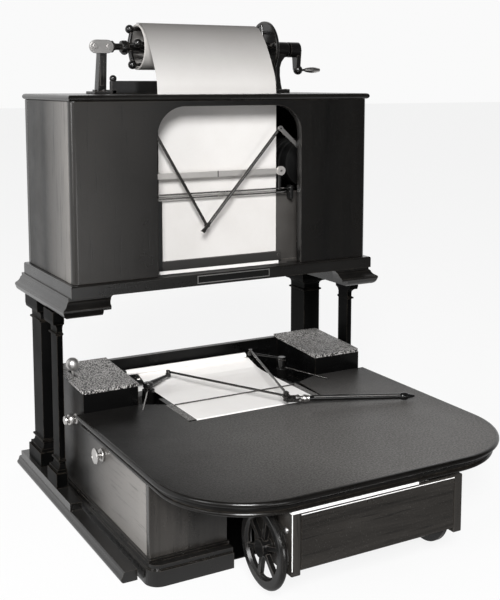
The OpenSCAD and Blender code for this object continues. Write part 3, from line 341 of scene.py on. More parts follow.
@dataclass(frozen=True)
class Wood:
    """Dark polished wood with streaks along its grain, open pores and a thin varnish."""

    name: str
    along: Axis
    dark: Colour = grey(0.0010, 0.10)
    light: Colour = grey(0.0040, 0.13)
    roughness: Span = (0.24, 0.33)
    varnish: float = 0.25
    gloss: float = 0.5
    speckle: float = 0.5
    dust: float = 0.30
    fleck: Colour = grey(0.022, 0.05)
    # Painted light: the colour lightens along one axis, standing in for a sheen or a lit side
    painted_light_span: Span = NOWHERE
    painted_light_along: Axis = Axis.Y
    painted_light: Colour = grey(0.24, 0.06)
    least_painted_light: float = 0.7
    stretch_across: float = 34.0
    stretch_along: float = 1.6
    streaks: float = 1.3
    specks: float = 900.0
    fleck_span: Span = (0.60, 0.78)
    fleck_share: float = 0.55
    pore: Colour = grey(0.003)
    pore_share: float = 0.7
    # Edge colour: scuffed wood and a painted highlight along the arrises
    worn_and_painted_highlight: Colour = grey(0.055, 0.2)
    worn_and_highlight_radius: float = 0.0012
    worn_and_highlight_share: float = 0.55
    film: Colour = grey(0.11, 0.04)
    film_share: float = 0.30
    film_roughness: float = 0.2
    varnish_roughness: float = 0.16
    relief: float = 0.35
    relief_depth: float = 0.00018
    pore_height: float = -0.6
    speck_height: float = 0.9

    def material(self) -> Material:
        """Builds the wood.

        Returns:
            The material.
        """
        made, g, shader = start_material(self.name)
        stretch = [self.stretch_across] * len(Axis)
        stretch[self.along.place] = self.stretch_along
        figure, pores = g.effect(EFFECTS.figure, Stretch=stretch, Scale=self.streaks)
        grain, cloud = g.effect(EFFECTS.grain, Scale=self.specks)
        [dust] = g.effect(EFFECTS.dust, Amount=self.dust)
        [wear_and_highlight] = g.effect(EFFECTS.wear_and_highlight, Radius=self.worn_and_highlight_radius, Amount=self.worn_and_highlight_share)
        body = g.mix(figure, self.dark, self.light)
        # Painted light: lightens the wood along one axis, in clouded patches
        if self.painted_light_span != NOWHERE:
            painted_light_share = g.span(g.along(self.painted_light_along), *self.painted_light_span)
            patchy_painted_light = g.math("MULTIPLY", painted_light_share, g.span(cloud, *CLOUD, self.least_painted_light), clamp=True)
            body = g.mix(patchy_painted_light, body, self.painted_light)
        pored = g.mix(g.math("MULTIPLY", pores, self.pore_share), body, self.pore)
        flecks = g.span(grain, *self.fleck_span, 0.0, self.speckle * self.fleck_share)
        worn_and_painted_highlight = g.mix(wear_and_highlight, g.mix(flecks, pored, self.fleck), self.worn_and_painted_highlight)
        rough = g.span(cloud, *CLOUD, *self.roughness)
        dull = g.math("MULTIPLY", dust, self.film_roughness)
        height = g.math("ADD", g.math("MULTIPLY", pores, self.pore_height),
                        g.math("MULTIPLY", grain, self.speck_height * self.speckle))
        g.wire(shader, {"Base Color": g.mix(g.math("MULTIPLY", dust, self.film_share), worn_and_painted_highlight, self.film),
                        "Roughness": g.math("ADD", rough, dull, clamp=True), "Specular IOR Level": self.gloss,
                        "Coat Weight": self.varnish, "Coat Roughness": self.varnish_roughness,
                        "Normal": g.bump(height, self.relief, self.relief_depth)})
        return made


@dataclass(frozen=True)
class Japan:
    """Black stoved enamel on cast iron, a little uneven, scuffed through at its edges and lighter there as a
    painted highlight.
    """

    name: str
    colour: Colour = grey(0.0035)
    mottle: Colour = grey(0.012, 0.06)
    roughness: Span = (0.18, 0.32)
    relief: float = 0.25
    # Edge colour: scuffed enamel and a painted highlight along the edges
    rubbed_and_painted_sheen: Colour = grey(0.11, 0.12)
    specks: float = 420.0
    mottle_share: float = 0.5
    worn_and_highlight_radius: float = 0.0009
    worn_and_highlight_share: float = 0.8
    dust: float = 0.4
    film: Colour = grey(0.1, 0.03)
    film_share: float = 0.25
    relief_depth: float = 0.0002

    def material(self) -> Material:
        """Builds the enamel.

        Returns:
            The material.
        """
        made, g, shader = start_material(self.name)
        grain, cloud = g.effect(EFFECTS.grain, Scale=self.specks)
        [wear_and_highlight] = g.effect(EFFECTS.wear_and_highlight, Radius=self.worn_and_highlight_radius, Amount=self.worn_and_highlight_share)
        [dust] = g.effect(EFFECTS.dust, Amount=self.dust)
        mottled = g.mix(g.span(cloud, *CLOUD, 0.0, self.mottle_share), self.colour, self.mottle)
        worn_and_painted_highlight = g.mix(wear_and_highlight, mottled, self.rubbed_and_painted_sheen)
        g.wire(shader, {"Base Color": g.mix(g.math("MULTIPLY", dust, self.film_share), worn_and_painted_highlight, self.film),
                        "Roughness": g.span(cloud, *CLOUD, *self.roughness),
                        "Normal": g.bump(grain, self.relief, self.relief_depth)})
        return made


@dataclass(frozen=True)
class Metal:
    """Bare or plated metal with fine marks and a cloudy tarnish."""

    name: str
    bright: Colour = grey(0.55, 0.02)
    dull: Colour = grey(0.22, 0.05)
    roughness: Span = (0.18, 0.42)
    tarnish: float = 0.5
    specks: float = 1300.0
    cloud_span: Span = (0.35, 0.7)
    pit_span: Span = (0.58, 0.8)
    pit_share: float = 0.35
    relief: float = 0.15
    relief_depth: float = 0.0001

    def material(self) -> Material:
        """Builds the metal.

        Returns:
            The material.
        """
        made, g, shader = start_material(self.name)
        grain, cloud = g.effect(EFFECTS.grain, Scale=self.specks)
        share = g.span(cloud, *self.cloud_span, 0.0, self.tarnish)
        pits = g.span(grain, *self.pit_span, 0.0, self.pit_share)
        pitted = g.math("ADD", share, pits, clamp=True)
        g.wire(shader, {"Base Color": g.mix(pitted, self.bright, self.dull), "Metallic": 1.0,
                        "Roughness": g.span(pitted, 0.0, 1.0, *self.roughness),
                        "Normal": g.bump(grain, self.relief, self.relief_depth)})
        return made


@dataclass(frozen=True)
class Paper:
    """Matt writing paper with faint fibres and clouds, and a painted shade towards one height where asked."""

    name: str
    colour: Colour = grey(0.80, 0.025)
    shade: Colour = grey(0.64, 0.05)
    painted_shade_heights: Span = NOWHERE
    painted_shade: Colour = grey(0.30, 0.04)
    gloss: float = 0.3
    roughness: Span = (0.72, 0.9)
    specks: float = 700.0
    cloud_span: Span = (0.35, 0.75)
    cloud_share: float = 0.45
    fibre_span: Span = (0.55, 0.8)
    fibre_share: float = 0.3
    relief: float = 0.12
    relief_depth: float = 0.0001

    def material(self) -> Material:
        """Builds the paper.

        Returns:
            The material.
        """
        made, g, shader = start_material(self.name)
        grain, cloud = g.effect(EFFECTS.grain, Scale=self.specks)
        clouded = g.span(cloud, *self.cloud_span, 0.0, self.cloud_share)
        fibre = g.span(grain, *self.fibre_span, 0.0, self.fibre_share)
        sheet = g.mix(g.math("ADD", clouded, fibre, clamp=True), self.colour, self.shade)
        # Painted shade: the sheet darkens towards one height
        if self.painted_shade_heights != NOWHERE:
            sheet = g.mix(g.span(g.along(Axis.Z), *self.painted_shade_heights), sheet, self.painted_shade)
        g.wire(shader, {"Base Color": sheet, "Roughness": g.span(grain, *CLOUD, *self.roughness),
                        "Specular IOR Level": self.gloss,
                        "Normal": g.bump(grain, self.relief, self.relief_depth)})
        return made


@dataclass(frozen=True)
class GrainedCloth:
    """Coated bookbinder's cloth with a pebbled grain, and lighter round one point where asked, as a painted
    sheen.
    """

    name: str
    low: Colour
    high: Colour
    pebble: float
    relief: float
    gloss: float
    roughness: Span = (0.42, 0.66)
    film_share: float = 0.22
    # Colour of the lighter patch, a painted sheen
    rubbed_and_painted_sheen: Colour = grey(0.0)
    painted_sheen_at: Point = (0.0, 0.0, 0.0)
    painted_sheen_reach: Span = NOWHERE
    painted_sheen_span: Span = (0.35, 0.65)
    least_painted_sheen: float = 0.25
    specks: float = 600.0
    softness: float = 0.6
    crest_span: Span = (0.15, 0.62)
    cloud_span: Span = (0.3, 0.72)
    cloud_share: Span = (0.55, 1.15)
    dust: float = 0.6
    film: Colour = grey(0.3, 0.03)
    relief_depth: float = 0.0003

    def material(self) -> Material:
        """Builds the cloth.

        Returns:
            The material.
        """
        made, g, shader = start_material(self.name)
        grain, cloud = g.effect(EFFECTS.grain, Scale=self.specks)
        [dust] = g.effect(EFFECTS.dust, Amount=self.dust)
        pebbles = {"Vector": g.object_coords(), "Scale": self.pebble, "Smoothness": self.softness}
        cell = g.add("TexVoronoi", pebbles, feature="SMOOTH_F1")
        crest = g.span(cell.outputs["Distance"], *self.crest_span, 1.0, 0.0)
        mottled = g.math("MULTIPLY", crest, g.span(cloud, *self.cloud_span, *self.cloud_share), clamp=True)
        body = g.mix(mottled, self.low, self.high)
        # Painted sheen: the cloth is lighter round one point, in broken patches
        if self.painted_sheen_reach != NOWHERE:
            away = g.add("VectorMath", {0: g.object_coords(), 1: self.painted_sheen_at}, operation="DISTANCE")
            near = g.span(away.outputs["Value"], *self.painted_sheen_reach, 1.0, 0.0)
            broken = g.span(grain, *self.painted_sheen_span, self.least_painted_sheen)
            body = g.mix(g.math("MULTIPLY", near, broken, clamp=True), body, self.rubbed_and_painted_sheen)
        g.wire(shader, {"Base Color": g.mix(g.math("MULTIPLY", dust, self.film_share), body, self.film),
                        "Roughness": g.span(cloud, *CLOUD, *self.roughness), "Specular IOR Level": self.gloss,
                        "Normal": g.bump(crest, self.relief, self.relief_depth)})
        return made


class Palette:
    """Every finish on the machine, as materials."""

    def __init__(self) -> None:
        """Builds the materials."""
        self._woods()
        self._metals()
        self._sheets()

    def _woods(self) -> None:
        """Builds the woods."""
        self.wood = {axis: Wood(f"mahogany_along_{axis.name.lower()}", axis).material() for axis in Axis}
        # The case sides lighten towards the front as painted light
        self.case_side = Wood("case_side_painted_light", Axis.Z, speckle=1.0, light=grey(0.012, 0.12), gloss=0.38,
                              roughness=(0.34, 0.5), varnish=0.05, painted_light_span=(0.130, 0.050)).material()
        # The body sides lighten towards the front as painted light
        self.body_side = Wood("body_side_painted_light", Axis.Y, speckle=1.0, light=grey(0.012, 0.12),
                              roughness=(0.34, 0.5), varnish=0.1, painted_light_span=(0.045, -0.085)).material()
        self.board = Wood("rubbed_mahogany_board", Axis.X, dark=grey(0.012, 0.1), light=grey(0.045, 0.1),
                          speckle=1.0, fleck=grey(0.34, 0.04), gloss=0.3).material()
        self.body_front = Wood("weathered_front_boards", Axis.Z, dark=grey(0.008, 0.1),
                               light=grey(0.032, 0.1), speckle=1.0, fleck=grey(0.10, 0.04)).material()
        # The case front lightens towards its left end as a painted sheen
        self.case_front = Wood("case_front_painted_sheen", Axis.Z, speckle=1.0, fleck=grey(0.05), gloss=0.42,
                               roughness=(0.27, 0.33), varnish=0.15, painted_light_span=(-0.045, -0.14),
                               painted_light_along=Axis.X, painted_light=grey(0.016, 0.1)).material()
        self.columns = Wood("dark_column_wood", Axis.Z, dark=grey(0.0008), light=grey(0.003), gloss=0.02,
                            roughness=(0.3, 0.42), varnish=0.02, speckle=0.2, dust=0.02).material()
        self.desk_edge = Wood("dark_desk_edge", Axis.X, gloss=0.25, varnish=0.2, dust=0.1).material()
        self.ebonised = Wood("ebonised_wood", Axis.X, dark=grey(0.0008), light=grey(0.0025), varnish=0.05,
                             gloss=0.25, speckle=0.3, dust=0.05, fleck=grey(0.012)).material()
        self.inside = Wood("plain_inner_wood", Axis.X, dark=grey(0.02, 0.2), light=grey(0.05, 0.25),
                           roughness=(0.55, 0.7), varnish=0.0).material()

    def _metals(self) -> None:
        """Builds the enamels, the lacquers and the bare and plated metals."""
        self.iron = Japan("black_japan").material()
        self.dull_iron = Japan("dull_black_iron", colour=grey(0.002), mottle=grey(0.006),
                               roughness=(0.38, 0.55), rubbed_and_painted_sheen=grey(0.03, 0.1)).material()
        self.clamp = Japan("clamp_lacquer", colour=grey(0.022, 0.08), roughness=(0.4, 0.6),
                           rubbed_and_painted_sheen=grey(0.12, 0.1)).material()
        self.platen = Japan("platen_lacquer", colour=grey(0.034, 0.08), mottle=grey(0.085, 0.06),
                            roughness=(0.4, 0.6), rubbed_and_painted_sheen=grey(0.2, 0.12)).material()
        self.ebonite = Japan("polished_ebonite", colour=grey(0.003, 0.06), mottle=grey(0.006),
                             roughness=(0.10, 0.2), relief=0.05, rubbed_and_painted_sheen=grey(0.02)).material()
        self.steel = Metal("oiled_steel", bright=grey(0.34, 0.03), dull=grey(0.12, 0.06),
                           tarnish=0.7).material()
        self.arms = Metal("dark_steel_arms", bright=grey(0.13, 0.03), dull=grey(0.03, 0.08),
                          tarnish=0.9).material()
        self.bright = Metal("bright_steel", bright=grey(0.60, 0.02), dull=grey(0.26, 0.05)).material()
        self.nickel = Metal("satin_nickel", bright=grey(0.62, 0.02), dull=grey(0.30, 0.05),
                            roughness=(0.30, 0.46)).material()
        self.ball = Metal("dulled_nickel_ball", bright=grey(0.66, 0.02), dull=grey(0.44, 0.05),
                          roughness=(0.44, 0.58), tarnish=0.4).material()
        self.lifter = Metal("grey_lacquered_bar", bright=grey(0.70, 0.03), dull=grey(0.48, 0.05),
                            roughness=(0.5, 0.65)).material()

    def _sheets(self) -> None:
        """Builds the papers, the white finish that paints the take-up plate's shine and edge highlights, and
        the cloths.
        """
        self.painted_glint = Paper("painted_glint_white", colour=grey(0.93, 0.01),
                                  shade=grey(0.85, 0.02)).material()
        self.paper = Paper("writing_paper", colour=grey(0.90, 0.02), shade=grey(0.78, 0.04)).material()
        # The web darkens towards its top, a painted shade where it bends over to the reel
        self.web = Paper("web_paper", colour=grey(0.66, 0.025), shade=grey(0.54, 0.05),
                         painted_shade_heights=(0.374, 0.452), painted_shade=grey(0.11, 0.05)).material()
        # The wound roll is a darker copy of the web's paper, a painted shade
        self.wound = Paper("wound_paper_painted_shade", colour=grey(0.42, 0.04), shade=grey(0.30, 0.06)).material()
        self.lid_cloth = GrainedCloth("lid_cloth", low=grey(0.004, 0.05), high=grey(0.70, 0.03), pebble=760.0,
                                      relief=0.6, gloss=0.35).material()
        self.bed_cloth = GrainedCloth("bed_margin_cloth", low=grey(0.05, 0.05), high=grey(0.40, 0.03),
                                      pebble=900.0, relief=0.4, gloss=0.3).material()
        self.desk_cloth = GrainedCloth("desk_cloth", low=grey(0.004, 0.05), high=grey(0.012, 0.05),
                                       pebble=1500.0, relief=0.22, gloss=0.07, roughness=(0.30, 0.42),
                                       # A painted sheen on the middle of the desk, lighter round one point
                                       film_share=0.03, rubbed_and_painted_sheen=grey(0.155, 0.04),
                                       painted_sheen_at=(0.05, -0.12, 0.093), painted_sheen_reach=(0.08, 0.215)).material()


PALETTE = Palette()


def bevel_sharp(work: Mesh, edges: Iterable[bmesh.types.BMEdge], width: float,
                sharp_deg: float) -> None:
    """Bevels the edges where two faces meet at more than an angle.

    Args:
        work: The mesh that the edges belong to.
        edges: The edges to look at.
        width: Width of the bevel, in the mesh's own unit.
        sharp_deg: The least angle, in degrees.
    """
    sharp = [e for e in edges if len(e.link_faces) == 2 and e.calc_face_angle(0.0) > math.radians(sharp_deg)]
    bmesh.ops.bevel(work, geom=sharp, offset=width, offset_type="OFFSET", affect="EDGES", segments=2,
                    profile=0.5, material=-1, clamp_overlap=True)


class Shape:
    """A growing mesh in millimetres, with Y counted from the cabinet's front.

    The calls that add or move something return the shape itself.
    """

    sharp_deg: float = 35.0
    weld: float = 0.001

    def __init__(self) -> None:
        """Starts empty."""
        self.work = bmesh.new()

    @staticmethod
    def _between(start: Point, end: Point) -> Matrix:
        """Returns the move to the middle of two points."""
        return Matrix.Translation((Vector(start) + Vector(end)) / 2)

    def _ease(self, verts: Sequence[Vert], width: float) -> "Shape":
        """Bevels the sharp edges among some vertices.

        Args:
            verts: The vertices.
            width: Width of the bevel, or 0 for none.

        Returns:
            This shape.
        """
        if width > 0:
            own = set(verts)
            edges = [e for e in self.work.edges if own.issuperset(e.verts)]
            bevel_sharp(self.work, edges, width, self.sharp_deg)
        return self

    def _place(self, verts: Sequence[Vert], matrix: Matrix, bevel: float = 0.0) -> "Shape":
        """Moves new vertices to their place and eases the sharp edges among them."""
        bmesh.ops.transform(self.work, matrix=matrix, verts=verts)
        return self._ease(verts, bevel)

    def block(self, low: Point, high: Point, bevel: float = 0.0) -> "Shape":
        """Adds a box.

        Args:
            low: Its lowest corner.
            high: Its highest corner.
            bevel: Width of its eased edges.

        Returns:
            This shape.
        """
        size = Vector(high) - Vector(low)
        made = bmesh.ops.create_cube(self.work, size=1.0)["verts"]
        return self._place(made, self._between(low, high) @ Matrix.Diagonal((*size, 1.0)), bevel)

    def pair(self, low: Point, high: Point, bevel: float = 0.0) -> "Shape":
        """Adds a box on the right and its mirror image on the left."""
        self.block((-high[0], *low[1:]), (-low[0], *high[1:]), bevel)
        return self.block(low, high, bevel)

    def plate(self, outline: Outline, axis: Axis, start: float, end: float, bevel: float = 0.0) -> "Shape":
        """Adds a plate of an outline between two depths.

        Args:
            outline: Points in the plane across the axis, in the order of the two other axes.
            axis: The direction of its thickness.
            start: Where it begins along the axis.
            end: Where it ends.
            bevel: Width of its eased edges.

        Returns:
            This shape.
        """
        points = []
        for pair in outline:
            point = [*pair]
            point.insert(axis.place, start)
            points.append(self.work.verts.new(point))
        face = self.work.faces.new(points)
        grown = bmesh.ops.extrude_face_region(self.work, geom=[face])["geom"]
        top = [v for v in grown if isinstance(v, Vert)]
        bmesh.ops.translate(self.work, verts=top, vec=axis.value * (end - start))
        return self._ease(points + top, bevel)

    def rod(self, start: Point, end: Point, radius: float, end_radius: float | None = None,
            segments: int = 20, bevel: float = 0.0) -> "Shape":
        """Adds a round bar or a cone between two points.

        Args:
            start: The middle of one end.
            end: The middle of the other end.
            radius: The radius at the start.
            end_radius: The radius at the end, where it differs.
            segments: Faces round it.
            bevel: Width of its eased edges.

        Returns:
            This shape.
        """
        way = Vector(end) - Vector(start)
        far = radius if end_radius is None else end_radius
        made = bmesh.ops.create_cone(self.work, cap_ends=True, segments=segments, radius1=radius, radius2=far,
                                     depth=way.length)["verts"]
        turn = way.to_track_quat("Z", "Y").to_matrix().to_4x4()
        return self._place(made, self._between(start, end) @ turn, bevel)

    def ball(self, centre: Point, radius: float, segments: int) -> "Shape":
        """Adds a ball.

        Args:
            centre: Its middle.
            radius: Its radius.
            segments: Faces round it.

        Returns:
            This shape.
        """
        made = bmesh.ops.create_uvsphere(self.work, u_segments=segments, v_segments=segments // 2,
                                         radius=radius)
        return self._place(made["verts"], Matrix.Translation(centre))

    def turned(self, profile: Outline, axis: Axis, centre: Point, segments: int = 40) -> "Shape":
        """Adds a turned form.

        Args:
            profile: Radius and place along the axis of each point, from end to end.
            axis: The axis it is turned about.
            centre: The point its places are counted from.
            segments: Faces round it.

        Returns:
            This shape.
        """
        across = Axis.Z if axis is not Axis.Z else Axis.X
        middle = Vector(centre)
        points = [self.work.verts.new(middle + axis.value * place + across.value * radius)
                  for radius, place in profile]
        edges = [self.work.edges.new(pair) for pair in zip(points, points[1:])]
        bmesh.ops.spin(self.work, geom=points + edges, cent=middle, axis=axis.value, dvec=(0.0, 0.0, 0.0),
                       angle=math.tau, steps=segments, use_merge=True, use_normal_flip=False,
                       use_duplicate=False)
        return self

    def bar(self, start: Point, end: Point, width: float, thick: float, bevel: float = 0.0) -> "Shape":
        """Adds a flat bar in a plane across Y, between two points.

        Args:
            start: Where its middle line begins.
            end: Where its middle line ends.
            width: Its width across that line.
            thick: Its thickness along Y.
            bevel: Width of its eased edges.

        Returns:
            This shape.
        """
        way = Vector(end) - Vector(start)
        made = bmesh.ops.create_cube(self.work, size=1.0)["verts"]
        turn = Matrix.Rotation(-math.atan2(way.z, way.x), 4, "Y")
        size = Matrix.Diagonal((way.length, thick, width, 1.0))
        return self._place(made, self._between(start, end) @ turn @ size, bevel)

    def band(self, line: Outline, left: float, right: float, thick: float) -> "Shape":
        """Adds a sheet along a line of points in Y and Z.

        Args:
            line: The points.
            left: Where it begins along X.
            right: Where it ends along X.
            thick: Its thickness.

        Returns:
            This shape.
        """
        points = [self.work.verts.new((left, *point)) for point in line]
        edges = [self.work.edges.new(pair) for pair in zip(points, points[1:])]
        grown = bmesh.ops.extrude_edge_only(self.work, edges=edges)["geom"]
        far = [v for v in grown if isinstance(v, Vert)]
        bmesh.ops.translate(self.work, verts=far, vec=(right - left, 0.0, 0.0))
        bmesh.ops.recalc_face_normals(self.work, faces=self.work.faces)
        bmesh.ops.solidify(self.work, geom=list(self.work.faces), thickness=thick)
        return self

    def moved(self, matrix: Matrix) -> "Shape":
        """Turns and moves everything added so far."""
        bmesh.ops.transform(self.work, matrix=matrix, verts=self.work.verts)
        return self

    def take(self, other: "Shape") -> "Shape":
        """Takes over another shape's mesh.

        Args:
            other: The other shape, which is freed.

        Returns:
            This shape.
        """
        held = bpy.data.meshes.new("held")
        other.work.to_mesh(held)
        other.work.free()
        self.work.from_mesh(held)
        bpy.data.meshes.remove(held)
        return self

    def done(self) -> Mesh:
        """Closes poles and seams, turns faces outwards and moves the mesh into the row frame.

        Returns:
            The mesh in metres.
        """
        bmesh.ops.remove_doubles(self.work, verts=self.work.verts, dist=self.weld)
        bmesh.ops.recalc_face_normals(self.work, faces=self.work.faces)
        self.moved(Matrix.Scale(MM, 4) @ Matrix.Translation((0.0, CABINET_FRONT, 0.0)))
        return self.work


class Workshop:
    """Makes, eases, places and dresses pieces."""

    smooth_deg: float = 32.0
    sharp_deg: float = 38.0
    flat_deg: float = 0.6
    weld_m: float = 2e-6
    largest_faces: int = 100

    @classmethod
    def finish(cls, work: Mesh, name: str, material: Material, body: str, slot: str,
               *stands_for: str) -> None:
        """Turns a bmesh into a dressed piece on its body.

        Args:
            work: The shape in the row frame; it is freed.
            name: The piece's name.
            material: Its material.
            body: The body it moves with.
            slot: The record's material slot; not used.
            *stands_for: CAD nodes that it replaces.
        """
        mesh = bpy.data.meshes.new(name)
        work.to_mesh(mesh)
        work.free()
        mesh.polygons.foreach_set("use_smooth", [True] * len(mesh.polygons))
        mesh.set_sharp_from_angle(angle=math.radians(cls.smooth_deg))
        mesh.materials.append(material)
        made = bpy.data.objects.new(name, mesh)
        bpy.context.scene.collection.objects.link(made)
        level = made.modifiers.new("level_faces", "WEIGHTED_NORMAL")
        level.weight = cls.largest_faces
        level.keep_sharp = True
        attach(made, body)
        if stands_for:
            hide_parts(*stands_for)
        LOG.info("piece %s on %s: %d faces", name, body, len(mesh.polygons))

    @classmethod
    def piece(cls, shape: Shape, name: str, material: Material, body: str, slot: str,
              *stands_for: str) -> None:
        """Turns a shape in millimetres into a dressed piece, as finish does."""
        cls.finish(shape.done(), name, material, body, slot, *stands_for)

    @classmethod
    def eased(cls, width_mm: float, material: Material, *nodes: str) -> None:
        """Replaces CAD nodes of wood by copies with their sharp edges eased, as sanded wood has them.

        Args:
            width_mm: Width of the easing.
            material: The material of the copies.
            *nodes: The CAD nodes.
        """
        for node in nodes:
            source = frame["nodes"][node]
            work = bmesh.new()
            work.from_mesh(source.data)
            bmesh.ops.remove_doubles(work, verts=work.verts, dist=cls.weld_m)
            bmesh.ops.dissolve_limit(work, angle_limit=math.radians(cls.flat_deg), verts=work.verts,
                                     edges=work.edges)
            bevel_sharp(work, work.edges, width_mm * MM, cls.sharp_deg)
            cls.finish(work, node + "_eased", material, source["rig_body"], "wood", node)

    @staticmethod
    def dress(material: Material, *nodes: str) -> None:
        """Gives CAD nodes a material, leaving their meshes as they are.

        Args:
            material: The material.
            *nodes: The CAD nodes.
        """
        for node in nodes:
            mesh = frame["nodes"][node].data
            mesh.materials.clear()
            mesh.materials.append(material)
            LOG.info("node %s in %s", node, material.name)


@dataclass
class Stand:
    """Base rails, columns and cornices that carry the cabinet, all as the source has them."""

    def build(self) -> None:
        """Dresses the stand."""
        Workshop.dress(PALETTE.wood[Axis.Y], "base_rail_left", "base_rail_right", "cornice_left",
                       "cornice_right")
        Workshop.dress(PALETTE.columns, "columns_front", "columns_rear")


@dataclass
class Cabinet:
    """The receiver's wooden case."""

    easing_mm: float = 0.7

    def build(self) -> None:
        """Builds the boards."""
        Workshop.eased(self.easing_mm, PALETTE.case_side, "cabinet_side_left", "cabinet_side_right")
        Workshop.eased(self.easing_mm, PALETTE.case_front, "cabinet_front")
        Workshop.eased(self.easing_mm, PALETTE.wood[Axis.X], "cabinet_back")
        Workshop.dress(PALETTE.wood[Axis.X], "cabinet_top", "cabinet_base")
        Workshop.dress(PALETTE.inside, "cabinet_floor")


@dataclass
class UpperReel:
    """Reel, its frame, the crank and the handle on the top board, in millimetres.

    Posts, feet and screws are counted from the axle's Y and from the deck.
    """

    deck: float = 379.5
    axle_y: float = 76.0
    axle_z: float = 424.5
    roll_radius: float = 22.0
    core_radius: float = 19.9
    web_left: float = -63.0
    web_right: float = 65.5
    web_y: float = 26.0
    slack: Outline = (
        (26.0, 380.6), (27.0, 391.0), (30.0, 400.0), (35.0, 410.0), (40.5, 419.5), (46.5, 429.0),
        (53.5, 438.0), (61.5, 444.6), (70.0, 447.5), (76.0, 447.5))
    posts: tuple[tuple[Outline, float, float], ...] = (
        (((-105.6, 0.0), (-97.0, 0.0), (-95.4, 49.5), (-101.8, 49.5)), -6.6, 4.0),
        (((99.5, 0.0), (97.2, 9.0), (95.9, 18.0), (96.0, 26.0), (97.8, 32.0), (101.8, 37.0), (104.0, 41.0),
          (104.0, 49.0), (91.0, 49.0), (91.0, 0.0)), -6.5, 5.5))
    post_easing: float = 0.5
    feet: tuple[tuple[Point, Point, float], ...] = (
        ((-103.2, -7.4, 8.0), (-99.6, -6.2, 35.0), 0.4), ((-112.0, -14.0, 0.0), (-95.0, 9.0, 2.6), 0.6),
        ((-98.0, -24.0, 0.0), (62.0, -17.0, 12.4), 0.8), ((61.0, -23.0, 0.0), (98.0, -17.0, 4.0), 0.6),
        ((-99.0, -24.0, 0.0), (-93.0, -8.0, 4.0), 0.6), ((89.5, -14.0, 0.0), (103.0, 9.0, 2.8), 0.6))
    screws: tuple[tuple[Point, float, float], ...] = (
        ((-109.5, -9.0, 2.4), 4.2, 2.3), ((-101.4, -11.0, 2.4), 4.0, 2.0), ((100.4, -10.0, 2.6), 4.2, 1.9))
    screw_easing: float = 0.4
    stud: Point = (-95.5, -20.5, 14.5)
    stud_radius: float = 3.4
    left_bearing_x: Span = (-103.5, -94.8)
    left_bearing_radius: float = 6.4
    right_bearing: Outline = (
        (2.6, 84.5), (7.2, 84.5), (8.0, 85.6), (8.0, 106.0), (7.4, 107.4), (6.2, 108.4), (2.6, 108.4))
    shaft: Outline = (
        (0.0, -106.6), (2.3, -106.6), (2.3, -92.4), (5.2, -91.9), (5.6, -91.0), (5.6, -87.6), (4.2, -87.0),
        (3.2, -84.5), (3.2, -80.0), (5.6, -79.2), (6.2, -77.4), (6.2, -73.8), (4.4, -72.6), (4.4, -60.0),
        (2.3, -59.4), (2.3, 76.0), (7.6, 76.8), (7.6, 84.0), (2.3, 84.0), (2.3, 109.0), (0.0, 109.0))
    rods: int = 4
    first_rod_deg: float = 80.0
    rod_circle: float = 17.4
    rod_radius: float = 1.6
    rod_in_disc: float = 1.0
    arm_start: Span = (-70.0, 3.0)
    arm_radius: float = 2.2
    arm_past_ball: float = 2.0
    ball_x: float = -68.5
    ball_radius: float = 4.3
    disc_x: float = 78.5
    disc: Outline = (
        (2.3, 0.8), (25.0, 0.8), (25.4, 0.0), (28.0, 0.0), (28.6, 0.7), (28.6, 3.0), (28.0, 3.6), (25.4, 3.6),
        (25.0, 2.4), (9.0, 2.4), (8.6, 3.6), (2.3, 3.6))
    rib_reach: Span = (5.0, 26.6)
    rib_radii: Span = (2.4, 1.8)
    rib_depth: float = 1.2
    cap_x: Span = (-114.2, -90.6)
    cap_y: Span = (-12.0, -7.2)
    cap_radius: float = 6.4
    cap_drop: float = 0.4
    cap_steps: int = 10
    cap_easing: float = 0.7
    cap_screw_y: Span = (-12.9, -11.5)
    cap_screw_in: float = 5.0
    cap_screw_radius: float = 2.5

    def build(self) -> None:
        """Builds the frame and the reel and dresses the crank."""
        Workshop.piece(self._frame(), "reel_casting", PALETTE.iron, "root", "black_iron", "reel_frame")
        Workshop.piece(self._spider(), "reel_spider", PALETTE.iron, "reel", "black_iron", "paper_reel")
        Workshop.piece(self._roll(), "reel_roll", PALETTE.wound, "reel", "paper", "reel_paper")
        Workshop.piece(self._cap(), "bearing_plate", PALETTE.nickel, "root", "nickel", "bearing_cap")
        Workshop.dress(PALETTE.iron, "reel_crank")
        Workshop.dress(PALETTE.nickel, "crank_handle")

    def _on_deck(self, point: Point) -> Point:
        """Returns a point of the frame in its place."""
        x, y, z = point
        return x, self.axle_y + y, self.deck + z

    def _axle(self, x: float = 0.0) -> Vector:
        """Returns a point on the axle."""
        return Vector((x, self.axle_y, self.axle_z))

    def _frame(self) -> Shape:
        """Two posts on small feet, a low bar between them, the crank's bearing and the screws.

        Returns:
            The frame's shape.
        """
        shape = Shape()
        for outline, front, rear in self.posts:
            shape.plate([(x, self.deck + z) for x, z in outline], Axis.Y, self.axle_y + front,
                        self.axle_y + rear, self.post_easing)
        for low, high, easing in self.feet:
            shape.block(self._on_deck(low), self._on_deck(high), easing)
        for foot, head, radius in self.screws:
            shape.rod(self._on_deck(foot), self._on_deck((*foot[:2], head)), radius, bevel=self.screw_easing)
        start, end = self.left_bearing_x
        shape.rod(self._axle(start), self._axle(end), self.left_bearing_radius, bevel=Ease.BROAD)
        shape.ball(self._on_deck(self.stud), self.stud_radius, segments=16)
        return shape.turned(self.right_bearing, Axis.X, self._axle())

